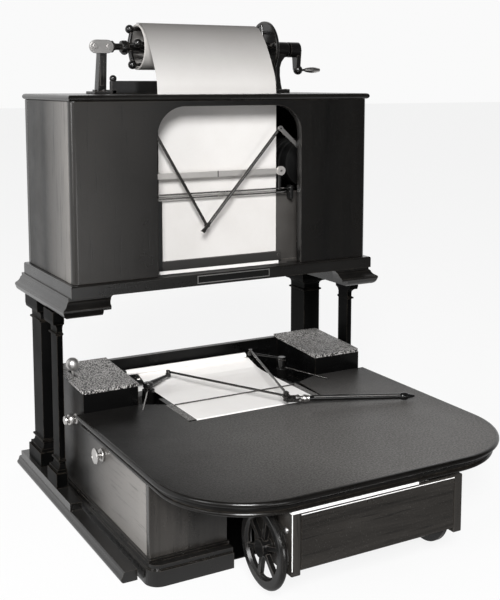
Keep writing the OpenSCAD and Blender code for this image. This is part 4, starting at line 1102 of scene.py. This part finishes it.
    def _spider(self) -> Shape:
        """Shaft with its collars, ball-ended rods on a spider, and the end disc with its rim and ribs.

        Returns:
            The shape of all that turns with the shaft.
        """
        shape = Shape().turned(self.shaft, Axis.X, self._axle())
        for i in range(self.rods):
            angle = math.radians(self.first_rod_deg + 360.0 / self.rods * i)
            out = Vector((0.0, -math.sin(angle), math.cos(angle)))
            tip = self._axle() + out * self.rod_circle
            hub_x, hub_out = self.arm_start
            ball = (self.ball_x, tip.y, tip.z)
            shape.rod(self._axle(hub_x) + out * hub_out, (self.ball_x + self.arm_past_ball, tip.y, tip.z),
                      self.arm_radius, self.rod_radius)
            shape.rod(ball, (self.disc_x + self.rod_in_disc, tip.y, tip.z), self.rod_radius)
            shape.ball(ball, self.ball_radius, segments=20)
            start, end = (self._axle(self.disc_x + self.rib_depth) + out * reach for reach in self.rib_reach)
            shape.rod(start, end, *self.rib_radii)
        return shape.turned(self.disc, Axis.X, self._axle(self.disc_x), segments=64)

    def _roll(self) -> Shape:
        """The wound paper, with the edges of its turns in steps at the ends.

        Returns:
            The roll's shape.
        """
        left, right, core, full = self.web_left, self.web_right, self.core_radius, self.roll_radius
        wall = full - core
        profile = [(core, left + 0.5), (core + wall * 0.3, left), (core + wall * 0.5, left + 0.45),
                   (core + wall * 0.75, left + 0.1), (full - 0.1, left + 0.3), (full, left + 0.5),
                   (full, right - 0.5), (full - 0.2, right - 0.1), (core + wall * 0.4, right - 0.4),
                   (core, right), (core, left + 0.5)]
        return Shape().turned(profile, Axis.X, self._axle(), segments=72)

    def _cap(self) -> Shape:
        """The plate over the left bearing, an oblong with round ends, and its two screws.

        Returns:
            The cap's shape.
        """
        (left, right), (front, rear), radius = self.cap_x, self.cap_y, self.cap_radius
        z = self.axle_z - self.cap_drop
        ends = ((right - radius, -90.0), (left + radius, 90.0))
        turns = [(x, math.radians(start + 180.0 * i / self.cap_steps))
                 for x, start in ends for i in range(self.cap_steps + 1)]
        outline = [(x + radius * math.cos(turn), z + radius * math.sin(turn)) for x, turn in turns]
        shape = Shape().plate(outline, Axis.Y, self.axle_y + front, self.axle_y + rear, self.cap_easing)
        front, rear = self.cap_screw_y
        for x in (left + self.cap_screw_in, right - self.cap_screw_in):
            shape.rod((x, self.axle_y + front, z), (x, self.axle_y + rear, z), self.cap_screw_radius,
                      bevel=Ease.SOFT)
        return shape


@dataclass
class PenLinkage:
    """The receiver's two pen arms with their pen, in millimetres."""

    eye: float = 2.6
    right_plane: float = 11.9
    left_plane: float = 14.3
    thick: float = 1.5
    right_width: float = 3.1
    left_width: float = 2.6
    arm_easing: float = 0.3
    pen_x: float = -18.5
    pen_z: float = 254.5
    past_joint: float = 7.5
    nib_reach: float = 0.4
    nib_radii: Span = (0.45, 0.25)
    web_y: float = 26.0
    eye_y: Span = (-1.2, 1.0)
    right_eye: float = 2.3
    left_eye: float = 2.1
    shank_front: float = 9.2
    shank_radius: float = 0.8
    pin_radius: float = 0.9
    pin_past: float = 1.4
    pin_head_y: Span = (-1.6, -0.6)
    pin_head_radius: float = 2.0
    clip: Span = (-2.6, 0.6)
    clip_width: float = 4.0
    clip_thick: float = 2.2
    arm_highlight_short: float = 4.0
    arm_highlight_out: float = 0.12
    arm_highlight_width: float = 1.1
    arm_highlight_thick: float = 0.4
    arm_highlight_easing: float = 0.15
    left_short: float = 1.6
    ring: Outline = ((1.1, -0.8), (2.4, -0.8), (2.5, 0.0), (2.4, 0.8), (1.1, 0.8), (1.1, -0.8))

    def build(self) -> None:
        """Builds the arms and dresses the cranks."""
        low, high = corners("receiver_crank_right")
        right = Vector((low.x + self.eye, self.right_plane, high.z - self.eye))
        _, high = corners("receiver_crank_left")
        left = Vector((high.x - self.eye, self.left_plane, high.z - self.eye))
        Workshop.piece(self._right_arm(right), "pen_arm_right", PALETTE.arms, "receiver_arm_r", "steel",
                       "receiver_arm_right")
        # Painted highlight: a bright strip along the right arm's middle
        Workshop.piece(self._arm_highlight(right), "pen_arm_right_painted_highlight", PALETTE.bright, "receiver_arm_r", "steel")
        Workshop.piece(self._left_arm(left), "pen_arm_left", PALETTE.arms, "receiver_arm_l", "steel",
                       "receiver_arm_left")
        Workshop.dress(PALETTE.nickel, "receiver_crank_left", "receiver_crank_right")

    def _line(self, elbow: Vector) -> tuple[Vector, Vector]:
        """Returns the pen joint in the plane of an arm, and the arm's direction."""
        pen = Vector((self.pen_x, elbow.y, self.pen_z))
        return pen, (pen - elbow).normalized()

    def _elbow(self, shape: Shape, at: Vector, radius: float) -> None:
        """Adds a round eye at an elbow, and its pin from the crank.

        Args:
            shape: The arm that it is added to.
            at: The elbow's place.
            radius: The eye's radius.
        """
        front, rear = self.eye_y
        shape.rod((at.x, at.y + front, at.z), (at.x, at.y + rear, at.z), radius, bevel=self.arm_easing)
        shape.rod((at.x, self.shank_front, at.z), at, self.shank_radius)

    def _right_arm(self, elbow: Vector) -> Shape:
        """The arm that carries the pen, straight on past the joint.

        Args:
            elbow: The point at which its crank carries it.

        Returns:
            The arm's shape.
        """
        pen, along = self._line(elbow)
        tip = pen + along * self.past_joint
        shape = Shape().bar(elbow, tip, self.right_width, self.thick, self.arm_easing)
        self._elbow(shape, elbow, self.right_eye)
        shape.rod((pen.x, elbow.y - self.pin_past, pen.z), (pen.x, self.left_plane + self.pin_past, pen.z),
                  self.pin_radius)
        front, rear = self.pin_head_y
        shape.rod((pen.x, elbow.y + front, pen.z), (pen.x, elbow.y + rear, pen.z), self.pin_head_radius,
                  bevel=Ease.PLAIN)
        start, end = (tip + along * reach for reach in self.clip)
        shape.bar(start, end, self.clip_width, self.clip_thick, Ease.SOFT)
        nib = tip.y + (self.web_y - tip.y) * self.nib_reach
        return shape.rod(tip, (tip.x, nib, tip.z), *self.nib_radii, segments=10)

    def _arm_highlight(self, elbow: Vector) -> Shape:
        """A bright strip along the right arm's face, a painted highlight.

        Args:
            elbow: The point at which its crank carries it.

        Returns:
            The rib's shape.
        """
        pen, along = self._line(elbow)
        out = Vector((0.0, -self.thick / 2 - self.arm_highlight_out, 0.0))
        short = along * self.arm_highlight_short
        return Shape().bar(elbow + short + out, pen - short + out, self.arm_highlight_width, self.arm_highlight_thick,
                           self.arm_highlight_easing)

    def _left_arm(self, elbow: Vector) -> Shape:
        """The arm that hangs on the right arm's pin.

        Args:
            elbow: The point at which its crank carries it.

        Returns:
            The arm's shape.
        """
        pen, along = self._line(elbow)
        end = pen - along * self.left_short
        shape = Shape().bar(elbow, end, self.left_width, self.thick, self.arm_easing)
        self._elbow(shape, elbow, self.left_eye)
        return shape.turned(self.ring, Axis.Y, pen, segments=24)


@dataclass
class ReceiverWorks:
    """Platen, motors, lifter and web inside the cabinet, in millimetres."""

    reel: UpperReel
    paper_t: float = 0.4
    web_gap: float = 1.0
    supply_y: float = 72.0
    turn_radius: float = 3.0
    turn_steps: int = 6
    rod_y: float = 21.0
    rod_radius: float = 0.95
    rod_in_ear: float = 2.5
    ear_t: float = 3.0
    lifter_arms: tuple[tuple[Span, float, float], ...] = (
        ((65.3, 67.7), -1.5, 0.0), ((-78.0, -75.0), -2.2, 0.4))
    arm_rear: float = 0.6
    lifter_rod_up: float = 1.5
    lifter_rod_radius: float = 0.9
    clip_x: Span = (-4.8, -4.0)
    clip_y: Span = (0.2, 0.7)
    clip_inset: float = 1.6
    foot_inner: float = 67.5
    clamp_z: Span = (212.0, 221.0)
    clamp_end: float = 70.0
    clamp_hook: float = 66.5
    clamp_depth: float = 3.0
    clamp_step: float = 1.8
    clamp_screw: Span = (66.8, 217.4)
    clamp_screw_y: Span = (-0.5, 0.2)
    clamp_screw_radius: float = 1.7
    strip_x: Span = (-66.0, -61.3)
    strip_y: Span = (-0.4, 1.4)
    strip_z: Span = (208.2, 279.0)
    painted_light_strip_x: Span = (-65.5, 66.0)
    painted_light_strip_y: Span = (-1.2, -0.7)
    painted_light_strip_foot: float = 206.6
    plate_x: Span = (-38.0, 40.0)
    plate_z: Span = (202.6, 210.0)
    plate_edge: float = 0.7
    plate_sunk: float = 0.1
    edge_proud: float = 0.45
    plate_proud: float = 0.3

    def build(self) -> None:
        """Builds the platen, guides, web and nameplate and dresses the rest."""
        Workshop.piece(self._platen(), "platen_board", PALETTE.platen, "root", "bronzed_metal",
                       "receiver_platen")
        Workshop.piece(self._clamp(), "web_clamp", PALETTE.clamp, "root", "bronzed_metal")
        front = corners("receiver_platen")[0].y
        (left, right), (near, far), (foot, head) = self.strip_x, self.strip_y, self.strip_z
        strip = Shape().block((left, front + near, foot), (right, front + far, head), Ease.THIN)
        Workshop.piece(strip, "web_edge_strip", PALETTE.dull_iron, "root", "black_iron")
        # Painted light: a bright paper strip in front of the platen, where the real web below the clamp lies
        # in shade
        (left, right), (near, far) = self.painted_light_strip_x, self.painted_light_strip_y
        foot, head = self.painted_light_strip_foot, self.clamp_z[0]
        painted_light_strip = Shape().block((left, front + near, foot), (right, front + far, head), Ease.HAIR)
        Workshop.piece(painted_light_strip, "web_painted_light_strip", PALETTE.paper, "root", "paper")
        self._build_guides()
        self._build_lifter()
        Workshop.piece(self._web(), "receiver_web", PALETTE.web, "root", "paper", "receiver_paper")
        self._build_nameplate()
        Workshop.dress(PALETTE.web, "supply_roll")
        Workshop.dress(PALETTE.dull_iron, "supply_brackets", "receiver_motors")
        Workshop.dress(PALETTE.lifter, "lifter_bar")

    def _platen(self) -> Shape:
        """The board behind the paper, with its feet on the floor board.

        Returns:
            The board's shape.
        """
        low, high = corners("receiver_platen")
        foot, front = corners("cabinet_side_left")[0].z, self.reel.web_y + self.web_gap
        shape = Shape().block((low.x, front, foot), high, Ease.SOFT)
        return shape.pair((self.foot_inner, front, low.z), (high.x, high.y, foot), Ease.THIN)

    def _clamp(self) -> Shape:
        """The bar that holds the web's foot, with its hooks and its screw.

        Returns:
            The bar's shape.
        """
        y, (foot, head) = corners("receiver_platen")[0].y, self.clamp_z
        middle, end, rear = self.strip_x[1], self.clamp_end, y + self.clamp_depth
        shape = Shape().block((middle, y, foot), (end, rear, head), Ease.PLAIN)
        shape.block((-end, y + self.clamp_step, foot), (middle, rear, head), Ease.THIN)
        shape.pair((self.clamp_hook, rear, foot), (end, self.reel.web_y + self.web_gap, head), Ease.FINE)
        (x, z), (near, far) = self.clamp_screw, self.clamp_screw_y
        return shape.rod((x, y + near, z), (x, y + far, z), self.clamp_screw_radius, bevel=Ease.THIN)

    def _build_guides(self) -> None:
        """Builds the two ears on the platen's ends and the lower rod between them."""
        low, high = corners("receiver_guides")
        ears = Shape().block(low, (low.x + self.ear_t, high.y, high.z), Ease.SOFT)
        ears.block((high.x - self.ear_t, low.y, low.z), high, Ease.SOFT)
        Workshop.piece(ears, "guide_ears", PALETTE.dull_iron, "root", "steel", "receiver_guides")
        height = corners("receiver_platen")[1].z
        rod = self._cross_rod(low.x + self.rod_in_ear, high.x - self.rod_in_ear, height, self.rod_radius)
        Workshop.piece(rod, "guide_rod", PALETTE.bright, "root", "steel")

    def _cross_rod(self, left: float, right: float, z: float, radius: float) -> Shape:
        """Returns a rod across the web at a height."""
        return Shape().rod((left, self.rod_y, z), (right, self.rod_y, z), radius)

    def _build_lifter(self) -> None:
        """Builds the lifter's arms, its turning rod and the clip on its bar."""
        low, high = corners("lifter_shaft")
        arms, rear = Shape(), self.rod_y + self.arm_rear
        for (left, right), front, drop in self.lifter_arms:
            arms.block((left, self.rod_y + front, low.z), (right, rear, high.z - drop), Ease.THIN)
        Workshop.piece(arms, "lifter_arms", PALETTE.dull_iron, "lifter", "steel", "lifter_shaft")
        rod = self._cross_rod(low.x, high.x, low.z + self.lifter_rod_up, self.lifter_rod_radius)
        Workshop.piece(rod, "lifter_rod", PALETTE.bright, "lifter", "steel")
        low, high = corners("lifter_bar")
        (left, right), (near, far), inset = self.clip_x, self.clip_y, self.clip_inset
        foot, head = low.z + inset, high.z - inset
        clip = Shape().block((left, low.y + near, foot), (right, low.y + far, head), Ease.HAIR)
        Workshop.piece(clip, "lifter_clip", PALETTE.dull_iron, "lifter", "steel")

    def _web(self) -> Shape:
        """The paper from the fresh roll round the platen's foot, up the window and slack over to the reel.

        Returns:
            The paper's shape.
        """
        turn_z = corners("cabinet_floor")[1].z + self.web_gap
        turns = (math.radians(90 - 90 / self.turn_steps * i) for i in range(self.turn_steps + 1))
        bend = [(self.reel.web_y + self.turn_radius * (1 - math.cos(turn)),
                 turn_z + self.turn_radius * (1 - math.sin(turn))) for turn in turns]
        line = [(self.supply_y, turn_z), *bend, *self.reel.slack]
        return Shape().band(line, self.reel.web_left, self.reel.web_right, self.paper_t)

    def _build_nameplate(self) -> None:
        """Builds the bright edge of the bare nameplate on the band's front, and the dark plate inside it."""
        front = corners("cabinet_base")[0].y
        (x0, x1), (z0, z1), edge = self.plate_x, self.plate_z, self.plate_edge
        rear, frame_edge = front + self.plate_sunk, Shape()
        for low, high in (((x0, z0), (x1, z0 + edge)), ((x0, z1 - edge), (x1, z1)),
                          ((x0, z0 + edge), (x0 + edge, z1 - edge)),
                          ((x1 - edge, z0 + edge), (x1, z1 - edge))):
            frame_edge.block((low[0], front - self.edge_proud, low[1]), (high[0], rear, high[1]))
        Workshop.piece(frame_edge, "nameplate_edge", PALETTE.nickel, "root", "nickel")
        plate = Shape().block((x0 + edge, front - self.plate_proud, z0 + edge), (x1 - edge, rear, z1 - edge))
        Workshop.piece(plate, "nameplate", PALETTE.ebonite, "root", "black_iron")


@dataclass
class TransmitterBody:
    """Plinth, boards, boxes and lids of the transmitter, in millimetres."""

    painted_shade_board_half: float = 83.0
    painted_shade_board_rear: float = 60.0
    painted_shade_board_z: Span = (0.1, 0.9)
    side_easing: float = 0.6
    front_easing: float = 0.8

    def build(self) -> None:
        """Builds a thin dark board at the bay's foot as painted shade under the body, and dresses the body.
        """
        # Painted shade: a dark board on the floor inside the bay
        front, half, (foot, head) = corners("body_front_boards")[0].y, self.painted_shade_board_half, self.painted_shade_board_z
        board = Shape().block((-half, front, foot), (half, self.painted_shade_board_rear, head), Ease.FINE)
        Workshop.piece(board, "bay_painted_shade_board", PALETTE.ebonised, "root", "wood")
        Workshop.dress(PALETTE.wood[Axis.X], "transmitter_plinth")
        Workshop.eased(self.side_easing, PALETTE.body_side, "body_side_left", "body_side_right")
        Workshop.eased(self.front_easing, PALETTE.body_front, "body_front_boards")
        Workshop.dress(PALETTE.ebonised, "rear_wall", "box_left", "box_right")
        Workshop.dress(PALETTE.lid_cloth, "lid_left", "lid_right")


@dataclass
class WritingDesk:
    """Desk, its surface, the bed, the web and its rollers, in millimetres."""

    roll_radius: float = 2.9
    roll_x: Span = (-81.0, 54.5)
    roll_gap: float = 0.1
    arm_t: float = 1.5
    arm_front: float = 2.0
    arm_z: Span = (-2.2, 2.0)
    bed_x: Span = (-75.6, 65.6)
    bed_rear: float = -12.4
    paper_gap: float = 0.6
    bed_lip: float = 0.3
    margin: float = 0.25
    margin_sunk: float = 0.2

    def build(self) -> None:
        """Builds the pressing roll and the bed's margin and dresses the desk."""
        for node, material in (("desk_top", PALETTE.desk_edge), ("desk_surface", PALETTE.desk_cloth),
                               # The bed and its sill are dark wood, a painted shade for the well round the
                               # bed; the bed's lighter margins are added as pieces
                               ("writing_platen", PALETTE.ebonised), ("transmitter_paper", PALETTE.paper),
                               ("paper_roller", PALETTE.nickel), ("roller_brackets", PALETTE.dull_iron),
                               ("guide_wires", PALETTE.steel)):
            Workshop.dress(material, node)
        roller, (left, right) = corners("paper_roller"), self.roll_x
        y = (roller[0].y + roller[1].y) / 2
        z = corners("transmitter_paper")[1].z + self.roll_radius + self.roll_gap
        roll = Shape().rod((left, y, z), (right, y, z), self.roll_radius, segments=32, bevel=Ease.PLAIN)
        Workshop.piece(roll, "pressing_roll", PALETTE.paper, "root", "paper")
        arms, wall, (under, over) = Shape(), corners("rear_wall")[0].y, self.arm_z
        for start, end in ((left - self.arm_t, left), (right, right + self.arm_t)):
            arms.block((start, y - self.arm_front, z + under), (end, wall, z + over), Ease.PLAIN)
        Workshop.piece(arms, "pressing_roll_arms", PALETTE.dull_iron, "root", "black_iron")
        Workshop.piece(self._margins(), "bed_margins", PALETTE.bed_cloth, "root", "leathercloth")

    def _margins(self) -> Shape:
        """The lighter strips of the bed on each side of the paper.

        Returns:
            The strips' shape.
        """
        paper, bed, (left, right) = corners("transmitter_paper"), corners("writing_platen"), self.bed_x
        front, foot, head = bed[0].y + self.bed_lip, bed[1].z - self.margin_sunk, bed[1].z + self.margin
        shape = Shape()
        for start, end in ((left, paper[0].x - self.paper_gap), (paper[1].x + self.paper_gap, right)):
            shape.block((start, front, foot), (end, self.bed_rear, head), Ease.HAIR)
        return shape


@dataclass
class WritingLinkage:
    """Rheostats, cranks, arms, fork and pencil, in millimetres."""

    joint: Point = (18.7, -72.8, 101.0)
    aim_deg: float = -19.1
    dip_deg: float = 1.96
    reach: float = 12.0
    holder_radius: float = 2.75
    holder_length: float = 105.0
    socket: Outline = (
        (0.0, -3.0), (1.9, -3.0), (2.2, -2.6), (2.2, 3.6), (3.2, 4.0), (3.5, 5.0), (3.3, 7.0), (2.9, 7.6),
        (3.1, 9.4), (2.6, 10.0), (0.0, 10.0))
    pin: Point = (0.0, 5.9, 0.0)
    highlight_strip_x: Span = (14.0, 97.0)
    highlight_strip_half: float = 0.55
    highlight_strip_out: Span = (-0.5, 0.25)
    highlight_strip_lean_deg: float = 48.0
    hub: Outline = (
        (0.0, -2.4), (4.6, -2.4), (5.0, -1.9), (5.0, 1.4), (4.4, 2.4), (2.2, 3.0), (0.0, 3.2))
    eye: Outline = ((1.1, -1.6), (2.5, -1.6), (2.7, 0.0), (2.5, 1.6), (1.1, 1.6), (1.1, -1.6))
    hub_in: float = 5.0
    eye_in: float = 2.6
    crank_down: float = 1.9
    crank_radii: Span = (3.0, 1.3)
    shaft_radius: float = 2.2

    def build(self) -> None:
        """Builds the pencil and the left crank and dresses the rest."""
        Workshop.dress(PALETTE.ebonite, "rheostats")
        Workshop.dress(PALETTE.iron, "transmitter_crank_right")
        Workshop.dress(PALETTE.arms, "transmitter_arm_left", "transmitter_arm_right", "pencil_fork")
        Workshop.piece(self._crank(), "left_crank", PALETTE.iron, "transmitter_crank_l", "steel",
                       "transmitter_crank_left")
        place = (Matrix.Translation(self.joint) @ Matrix.Rotation(math.radians(self.aim_deg), 4, "Z")
                 @ Matrix.Translation((self.reach, 0.0, 0.0))
                 @ Matrix.Rotation(math.radians(self.dip_deg), 4, "Y"))
        Workshop.piece(self._holder().moved(place), "pencil_holder", PALETTE.ebonite, "pencil", "ebonite",
                       "pencil")
        Workshop.piece(self._fittings().moved(place), "pencil_fittings", PALETTE.nickel, "pencil", "nickel")

    def _holder(self) -> Shape:
        """The turned holder with its end cap and the lead's cone, along X.

        Returns:
            The holder's shape.
        """
        radius, length = self.holder_radius, self.holder_length
        profile = [(0.0, 4.0), (radius - 0.5, 4.0), (radius - 0.3, 12.0), (radius, 14.0),
                   (radius, length - 7), (radius + 0.7, length - 6), (radius + 0.9, length - 3),
                   (radius + 0.5, length - 0.6), (radius - 0.4, length), (1.0, length + 6.6),
                   (0.0, length + 7.0)]
        return Shape().turned(profile, Axis.X, (0.0, 0.0, 0.0), segments=32)

    def _fittings(self) -> Shape:
        """The bright socket in the fork, its pin, and a bright strip let into the holder's side as a painted
        highlight, along X.

        Returns:
            The shape of the bright pieces.
        """
        shape = Shape().turned(self.socket, Axis.X, (0.0, 0.0, 0.0), segments=32)
        shape.rod(-Vector(self.pin), self.pin, 1.0, segments=16)
        # Painted highlight: a tilted bright strip along the holder stands in for its highlight line
        (start, end), half = self.highlight_strip_x, self.highlight_strip_half
        sunk, proud = (self.holder_radius + out for out in self.highlight_strip_out)
        highlight_strip = Shape().block((start, -half, sunk), (end, half, proud), Ease.FINE)
        return shape.take(highlight_strip.moved(Matrix.Rotation(math.radians(self.highlight_strip_lean_deg), 4, "X")))

    def _crank(self) -> Shape:
        """The left crank: a heavy hub, an arm that thins towards its eye, and the shaft below.

        Returns:
            The crank's shape.
        """
        low, high = corners("transmitter_crank_left")
        z = high.z - self.crank_down
        pivot = Vector((low.x + self.hub_in, low.y + self.hub_in, z))
        elbow = Vector((high.x - self.eye_in, high.y - self.eye_in, z))
        shape = Shape().rod(pivot, elbow, *self.crank_radii, segments=24)
        shape.turned(self.hub, Axis.Z, pivot).turned(self.eye, Axis.Z, elbow, segments=24)
        return shape.rod((pivot.x, pivot.y, low.z), pivot, self.shaft_radius)


@dataclass
class TakeUpBox:
    """Board, cheeks and the reel with its handwheel under the desk, in millimetres."""

    board_half: float = 72.0
    board_y: Span = (0.6, 3.6)
    plate_z: Span = (78.2, 80.9)
    plate_right: float = 36.0
    plate_depth: float = 15.6
    line_y: Span = (0.2, 0.8)
    line_down: Span = (-1.9, -1.3)
    corner_y: Span = (-0.15, 0.3)
    corner_foot: float = 0.5
    corner_width: float = 0.6
    cheek_t: float = 8.0
    cheek_gap: float = 0.2
    cheek_foot: float = 22.0
    cheek_head: float = 34.0
    dome: Span = (-237.0, 63.2)
    dome_profile: Outline = ((0.0, 0.3), (3.0, 0.3), (3.0, -0.3), (2.4, -0.9), (1.2, -1.25), (0.0, -1.35))

    def build(self) -> None:
        """Builds the box and dresses the reel."""
        low, _ = corners("take_up_board")
        half, (under, over) = self.board_half, self.plate_z
        near, far = self.board_y
        board = Shape().block((-half, low.y + near, low.z), (half, low.y + far, under), Ease.PLAIN)
        Workshop.piece(board, "take_up_front", PALETTE.board, "root", "wood", "take_up_board")
        right, rear = self.plate_right, low.y + self.plate_depth
        # The plate is white, a painted reflection of a polished plate; it stops short of the right end, where
        # that part is in shade
        plate = Shape().block((low.x, low.y, under), (right, rear, over), Ease.THIN)
        Workshop.piece(plate, "take_up_plate", PALETTE.painted_glint, "root", "nickel")
        # Painted highlights: thin white lines along the board's top edge and its left corner
        (near, far), (foot, head) = self.line_y, self.line_down
        line = Shape().block((-half, low.y + near, under + foot), (half, low.y + far, under + head),
                             Ease.HAIR)
        near, far = self.corner_y
        line.block((low.x, low.y + near, low.z + self.corner_foot),
                   (low.x + self.corner_width, low.y + far, under), Ease.HAIR)
        Workshop.piece(line, "take_up_painted_highlight_lines", PALETTE.painted_glint, "root", "nickel")
        Workshop.piece(self._cheeks(), "take_up_sides", PALETTE.body_front, "root", "wood", "take_up_cheeks")
        face = -corners("take_up_cheeks")[1].x
        dome = Shape().turned(self.dome_profile, Axis.X, (face, *self.dome), segments=24)
        Workshop.piece(dome, "cheek_dome", PALETTE.nickel, "root", "nickel")
        Workshop.dress(PALETTE.iron, "take_up_reel")

    def _cheeks(self) -> Shape:
        """The two cheeks that hang from the desk.

        Returns:
            The cheeks' shape.
        """
        low, high = corners("take_up_cheeks")
        axle = corners("take_up_reel")
        middle = (axle[0].y + axle[1].y) / 2
        step = low.y + self.plate_depth + self.cheek_gap
        outline = [(low.y, low.z), (middle + self.cheek_foot, low.z), (middle + self.cheek_head, high.z),
                   (step, high.z), (step, self.plate_z[0]), (low.y, self.plate_z[0])]
        inner = high.x - self.cheek_t
        shape = Shape().plate(outline, Axis.X, -high.x, -inner, Ease.BROAD)
        return shape.plate(outline, Axis.X, inner, high.x, Ease.BROAD)


@dataclass
class Controls:
    """Ball lever and the two side knobs, in millimetres."""

    ring_profile: Outline = (
        (0.0, 0.4), (2.6, 0.4), (2.9, 1.2), (2.4, 2.0), (4.2, 2.5), (4.9, 3.4), (4.9, 4.8), (4.2, 5.7),
        (2.2, 6.1), (2.2, 7.0), (4.6, 7.5), (5.4, 8.6), (5.4, 10.4), (4.7, 11.6), (2.6, 12.1), (2.6, 12.8),
        (3.9, 13.2), (4.3, 14.2), (3.8, 15.4), (2.0, 16.0), (0.0, 16.2))
    spool_profile: Outline = (
        (0.0, 0.3), (5.4, 0.3), (5.9, 0.9), (5.9, 1.7), (5.3, 2.3), (2.3, 2.7), (2.3, 5.4), (6.2, 5.8),
        (7.0, 6.4), (7.0, 7.3), (6.4, 7.8), (6.1, 7.5), (5.7, 7.8), (0.0, 7.9))
    stem_radius: float = 1.2
    stem_out: float = 1.0

    def build(self) -> None:
        """Builds the knobs and dresses the lever."""
        Workshop.dress(PALETTE.ball, "ball_lever")
        face = corners("body_side_left")[0].x
        for node, body, name, profile in (("ring_knob", "ringed_knob", "ringed_side_knob", self.ring_profile),
                                          ("spool_knob", "spool", "spool_side_knob", self.spool_profile)):
            low, high = corners(node)
            y, z = (low.y + high.y) / 2, (low.z + high.z) / 2
            shape = Shape().turned([(radius, -out) for radius, out in profile], Axis.X, (face, y, z))
            shape.rod((high.x, y, z), (face - self.stem_out, y, z), self.stem_radius, segments=16)
            Workshop.piece(shape, name, PALETTE.nickel, body, "nickel", node)


@dataclass(frozen=True)
class Lamp:
    """A soft square lamp, in metres and watts."""

    name: str
    place: Point
    target: Point
    size: float
    watts: float

    def hang(self) -> None:
        """Adds the lamp to the scene, out of the camera's sight."""
        light = bpy.data.lights.new(self.name, "AREA")
        light.energy = self.watts
        light.size = self.size
        made = bpy.data.objects.new(self.name, light)
        made.visible_camera = False
        made.location = self.place
        made.rotation_euler = (Vector(self.target) - Vector(self.place)).to_track_quat("-Z", "Y").to_euler()
        bpy.context.scene.collection.objects.link(made)


@dataclass
class Studio:
    """Floor, world, lamps and camera. The floor and the lamps are in metres."""

    camera_mm: Point = (-446.0, -786.35, 391.1)
    yaw_deg: float = 29.107
    pitch_deg: float = 6.949
    focal_px: float = 1003.4
    frame_px: tuple[int, int] = (500, 600)
    shift_down: float = 0.16
    sensor_mm: float = 36.0
    clip: Span = (0.02, 50.0)
    backdrop: float = 0.95
    backdrop_seen: float = 0.955
    ceiling: float = 0.10
    ceiling_span: Span = (0.55, 0.80)
    room: float = 0.03
    room_span: Span = (-0.25, 0.25)
    floor_half: float = 14.0
    floor_albedo: float = 0.12
    floor_glow: float = 0.86
    floor_bounce: float = 0.70
    table_front: Span = (-0.27, -0.04)
    pool_glow: float = 0.45
    pool_front: Span = (-0.8, -1.1)
    pool_right: Span = (0.50, 0.22)
    lamps: tuple[Lamp, ...] = (
        Lamp("key_high", (-1.3, -2.3, 1.65), (0.0, 0.0, 0.25), 0.9, 122.0),
        Lamp("soft_front", (0.72, -2.1, 0.45), (0.0, 0.0, 0.30), 0.6, 1.0),
        Lamp("low_front", (-0.02, -0.95, 0.05), (0.0, -0.2, 0.07), 0.3, 1.6),
        Lamp("side_left", (-1.8, -0.6, 0.6), (0.0, 0.0, 0.2), 0.6, 16.0))

    def build(self) -> None:
        """Sets up the studio."""
        self._floor()
        self._world()
        for lamp in self.lamps:
            lamp.hang()
        self._camera()

    def _floor(self) -> None:
        """Lays a plain white floor that shows faint contact shadows and returns less light than it shows."""
        work = bmesh.new()
        bmesh.ops.create_grid(work, x_segments=1, y_segments=1, size=self.floor_half)
        mesh = bpy.data.meshes.new("studio_floor")
        work.to_mesh(mesh)
        work.free()
        made, g, shader = start_material("white_floor")
        near = g.span(g.along(Axis.Y), *self.table_front, self.room, self.floor_bounce)
        pool = g.math("MULTIPLY", g.span(g.along(Axis.Y), *self.pool_front, 0.0, self.pool_glow),
                      g.span(g.along(Axis.X), *self.pool_right))
        glow = g.for_camera(self.floor_glow, g.math("ADD", near, pool))
        g.wire(shader, {"Base Color": grey(self.floor_albedo), "Specular IOR Level": 0.0, "Roughness": 1.0,
                        "Emission Color": grey(1.0), "Emission Strength": glow})
        mesh.materials.append(made)
        floor = bpy.data.objects.new("studio_floor", mesh)
        bpy.context.scene.collection.objects.link(floor)

    def _world(self) -> None:
        """Surrounds the machine with a white backdrop behind it and a dark room in front."""
        world = bpy.data.worlds.new("studio_world")
        world.use_nodes = True
        g = Graph(world.node_tree)
        way = g.add("SeparateXYZ", {0: g.add("TexCoord").outputs["Generated"]}).outputs
        soft = {"interpolation_type": "SMOOTHSTEP"}
        wall = g.span(way[2], *self.ceiling_span, self.backdrop, self.ceiling, **soft)
        behind = g.span(way[1], *self.room_span, self.room, wall, **soft)
        g.wire(world.node_tree.nodes["Background"],
               {"Color": grey(1.0), "Strength": g.for_camera(self.backdrop_seen, behind)})
        bpy.context.scene.world = world

    def _camera(self) -> None:
        """Puts the camera where the photograph was taken from."""
        lens = bpy.data.cameras.new("camera")
        lens.sensor_width = self.sensor_mm
        lens.lens = self.focal_px / max(self.frame_px) * self.sensor_mm
        lens.shift_y = -self.shift_down
        lens.clip_start, lens.clip_end = self.clip
        made = bpy.data.objects.new("camera", lens)
        made.location = [c * MM for c in self.camera_mm]
        made.rotation_euler = (math.radians(90.0 - self.pitch_deg), 0.0, math.radians(-self.yaw_deg))
        bpy.context.scene.collection.objects.link(made)
        bpy.context.scene.camera = made
        bpy.context.scene.view_settings.view_transform = "Standard"


def main() -> None:
    """Builds the dressed machine and its studio."""
    logging.basicConfig(level=logging.INFO, format="%(name)s: %(message)s")
    reel = UpperReel()
    for part in (Stand(), Cabinet(), ReceiverWorks(reel), PenLinkage(), reel, TransmitterBody(),
                 WritingDesk(), WritingLinkage(), TakeUpBox(), Controls(), Studio()):
        LOG.info("building %s", type(part).__name__)
        part.build()


if __name__ == "__main__":
    main()
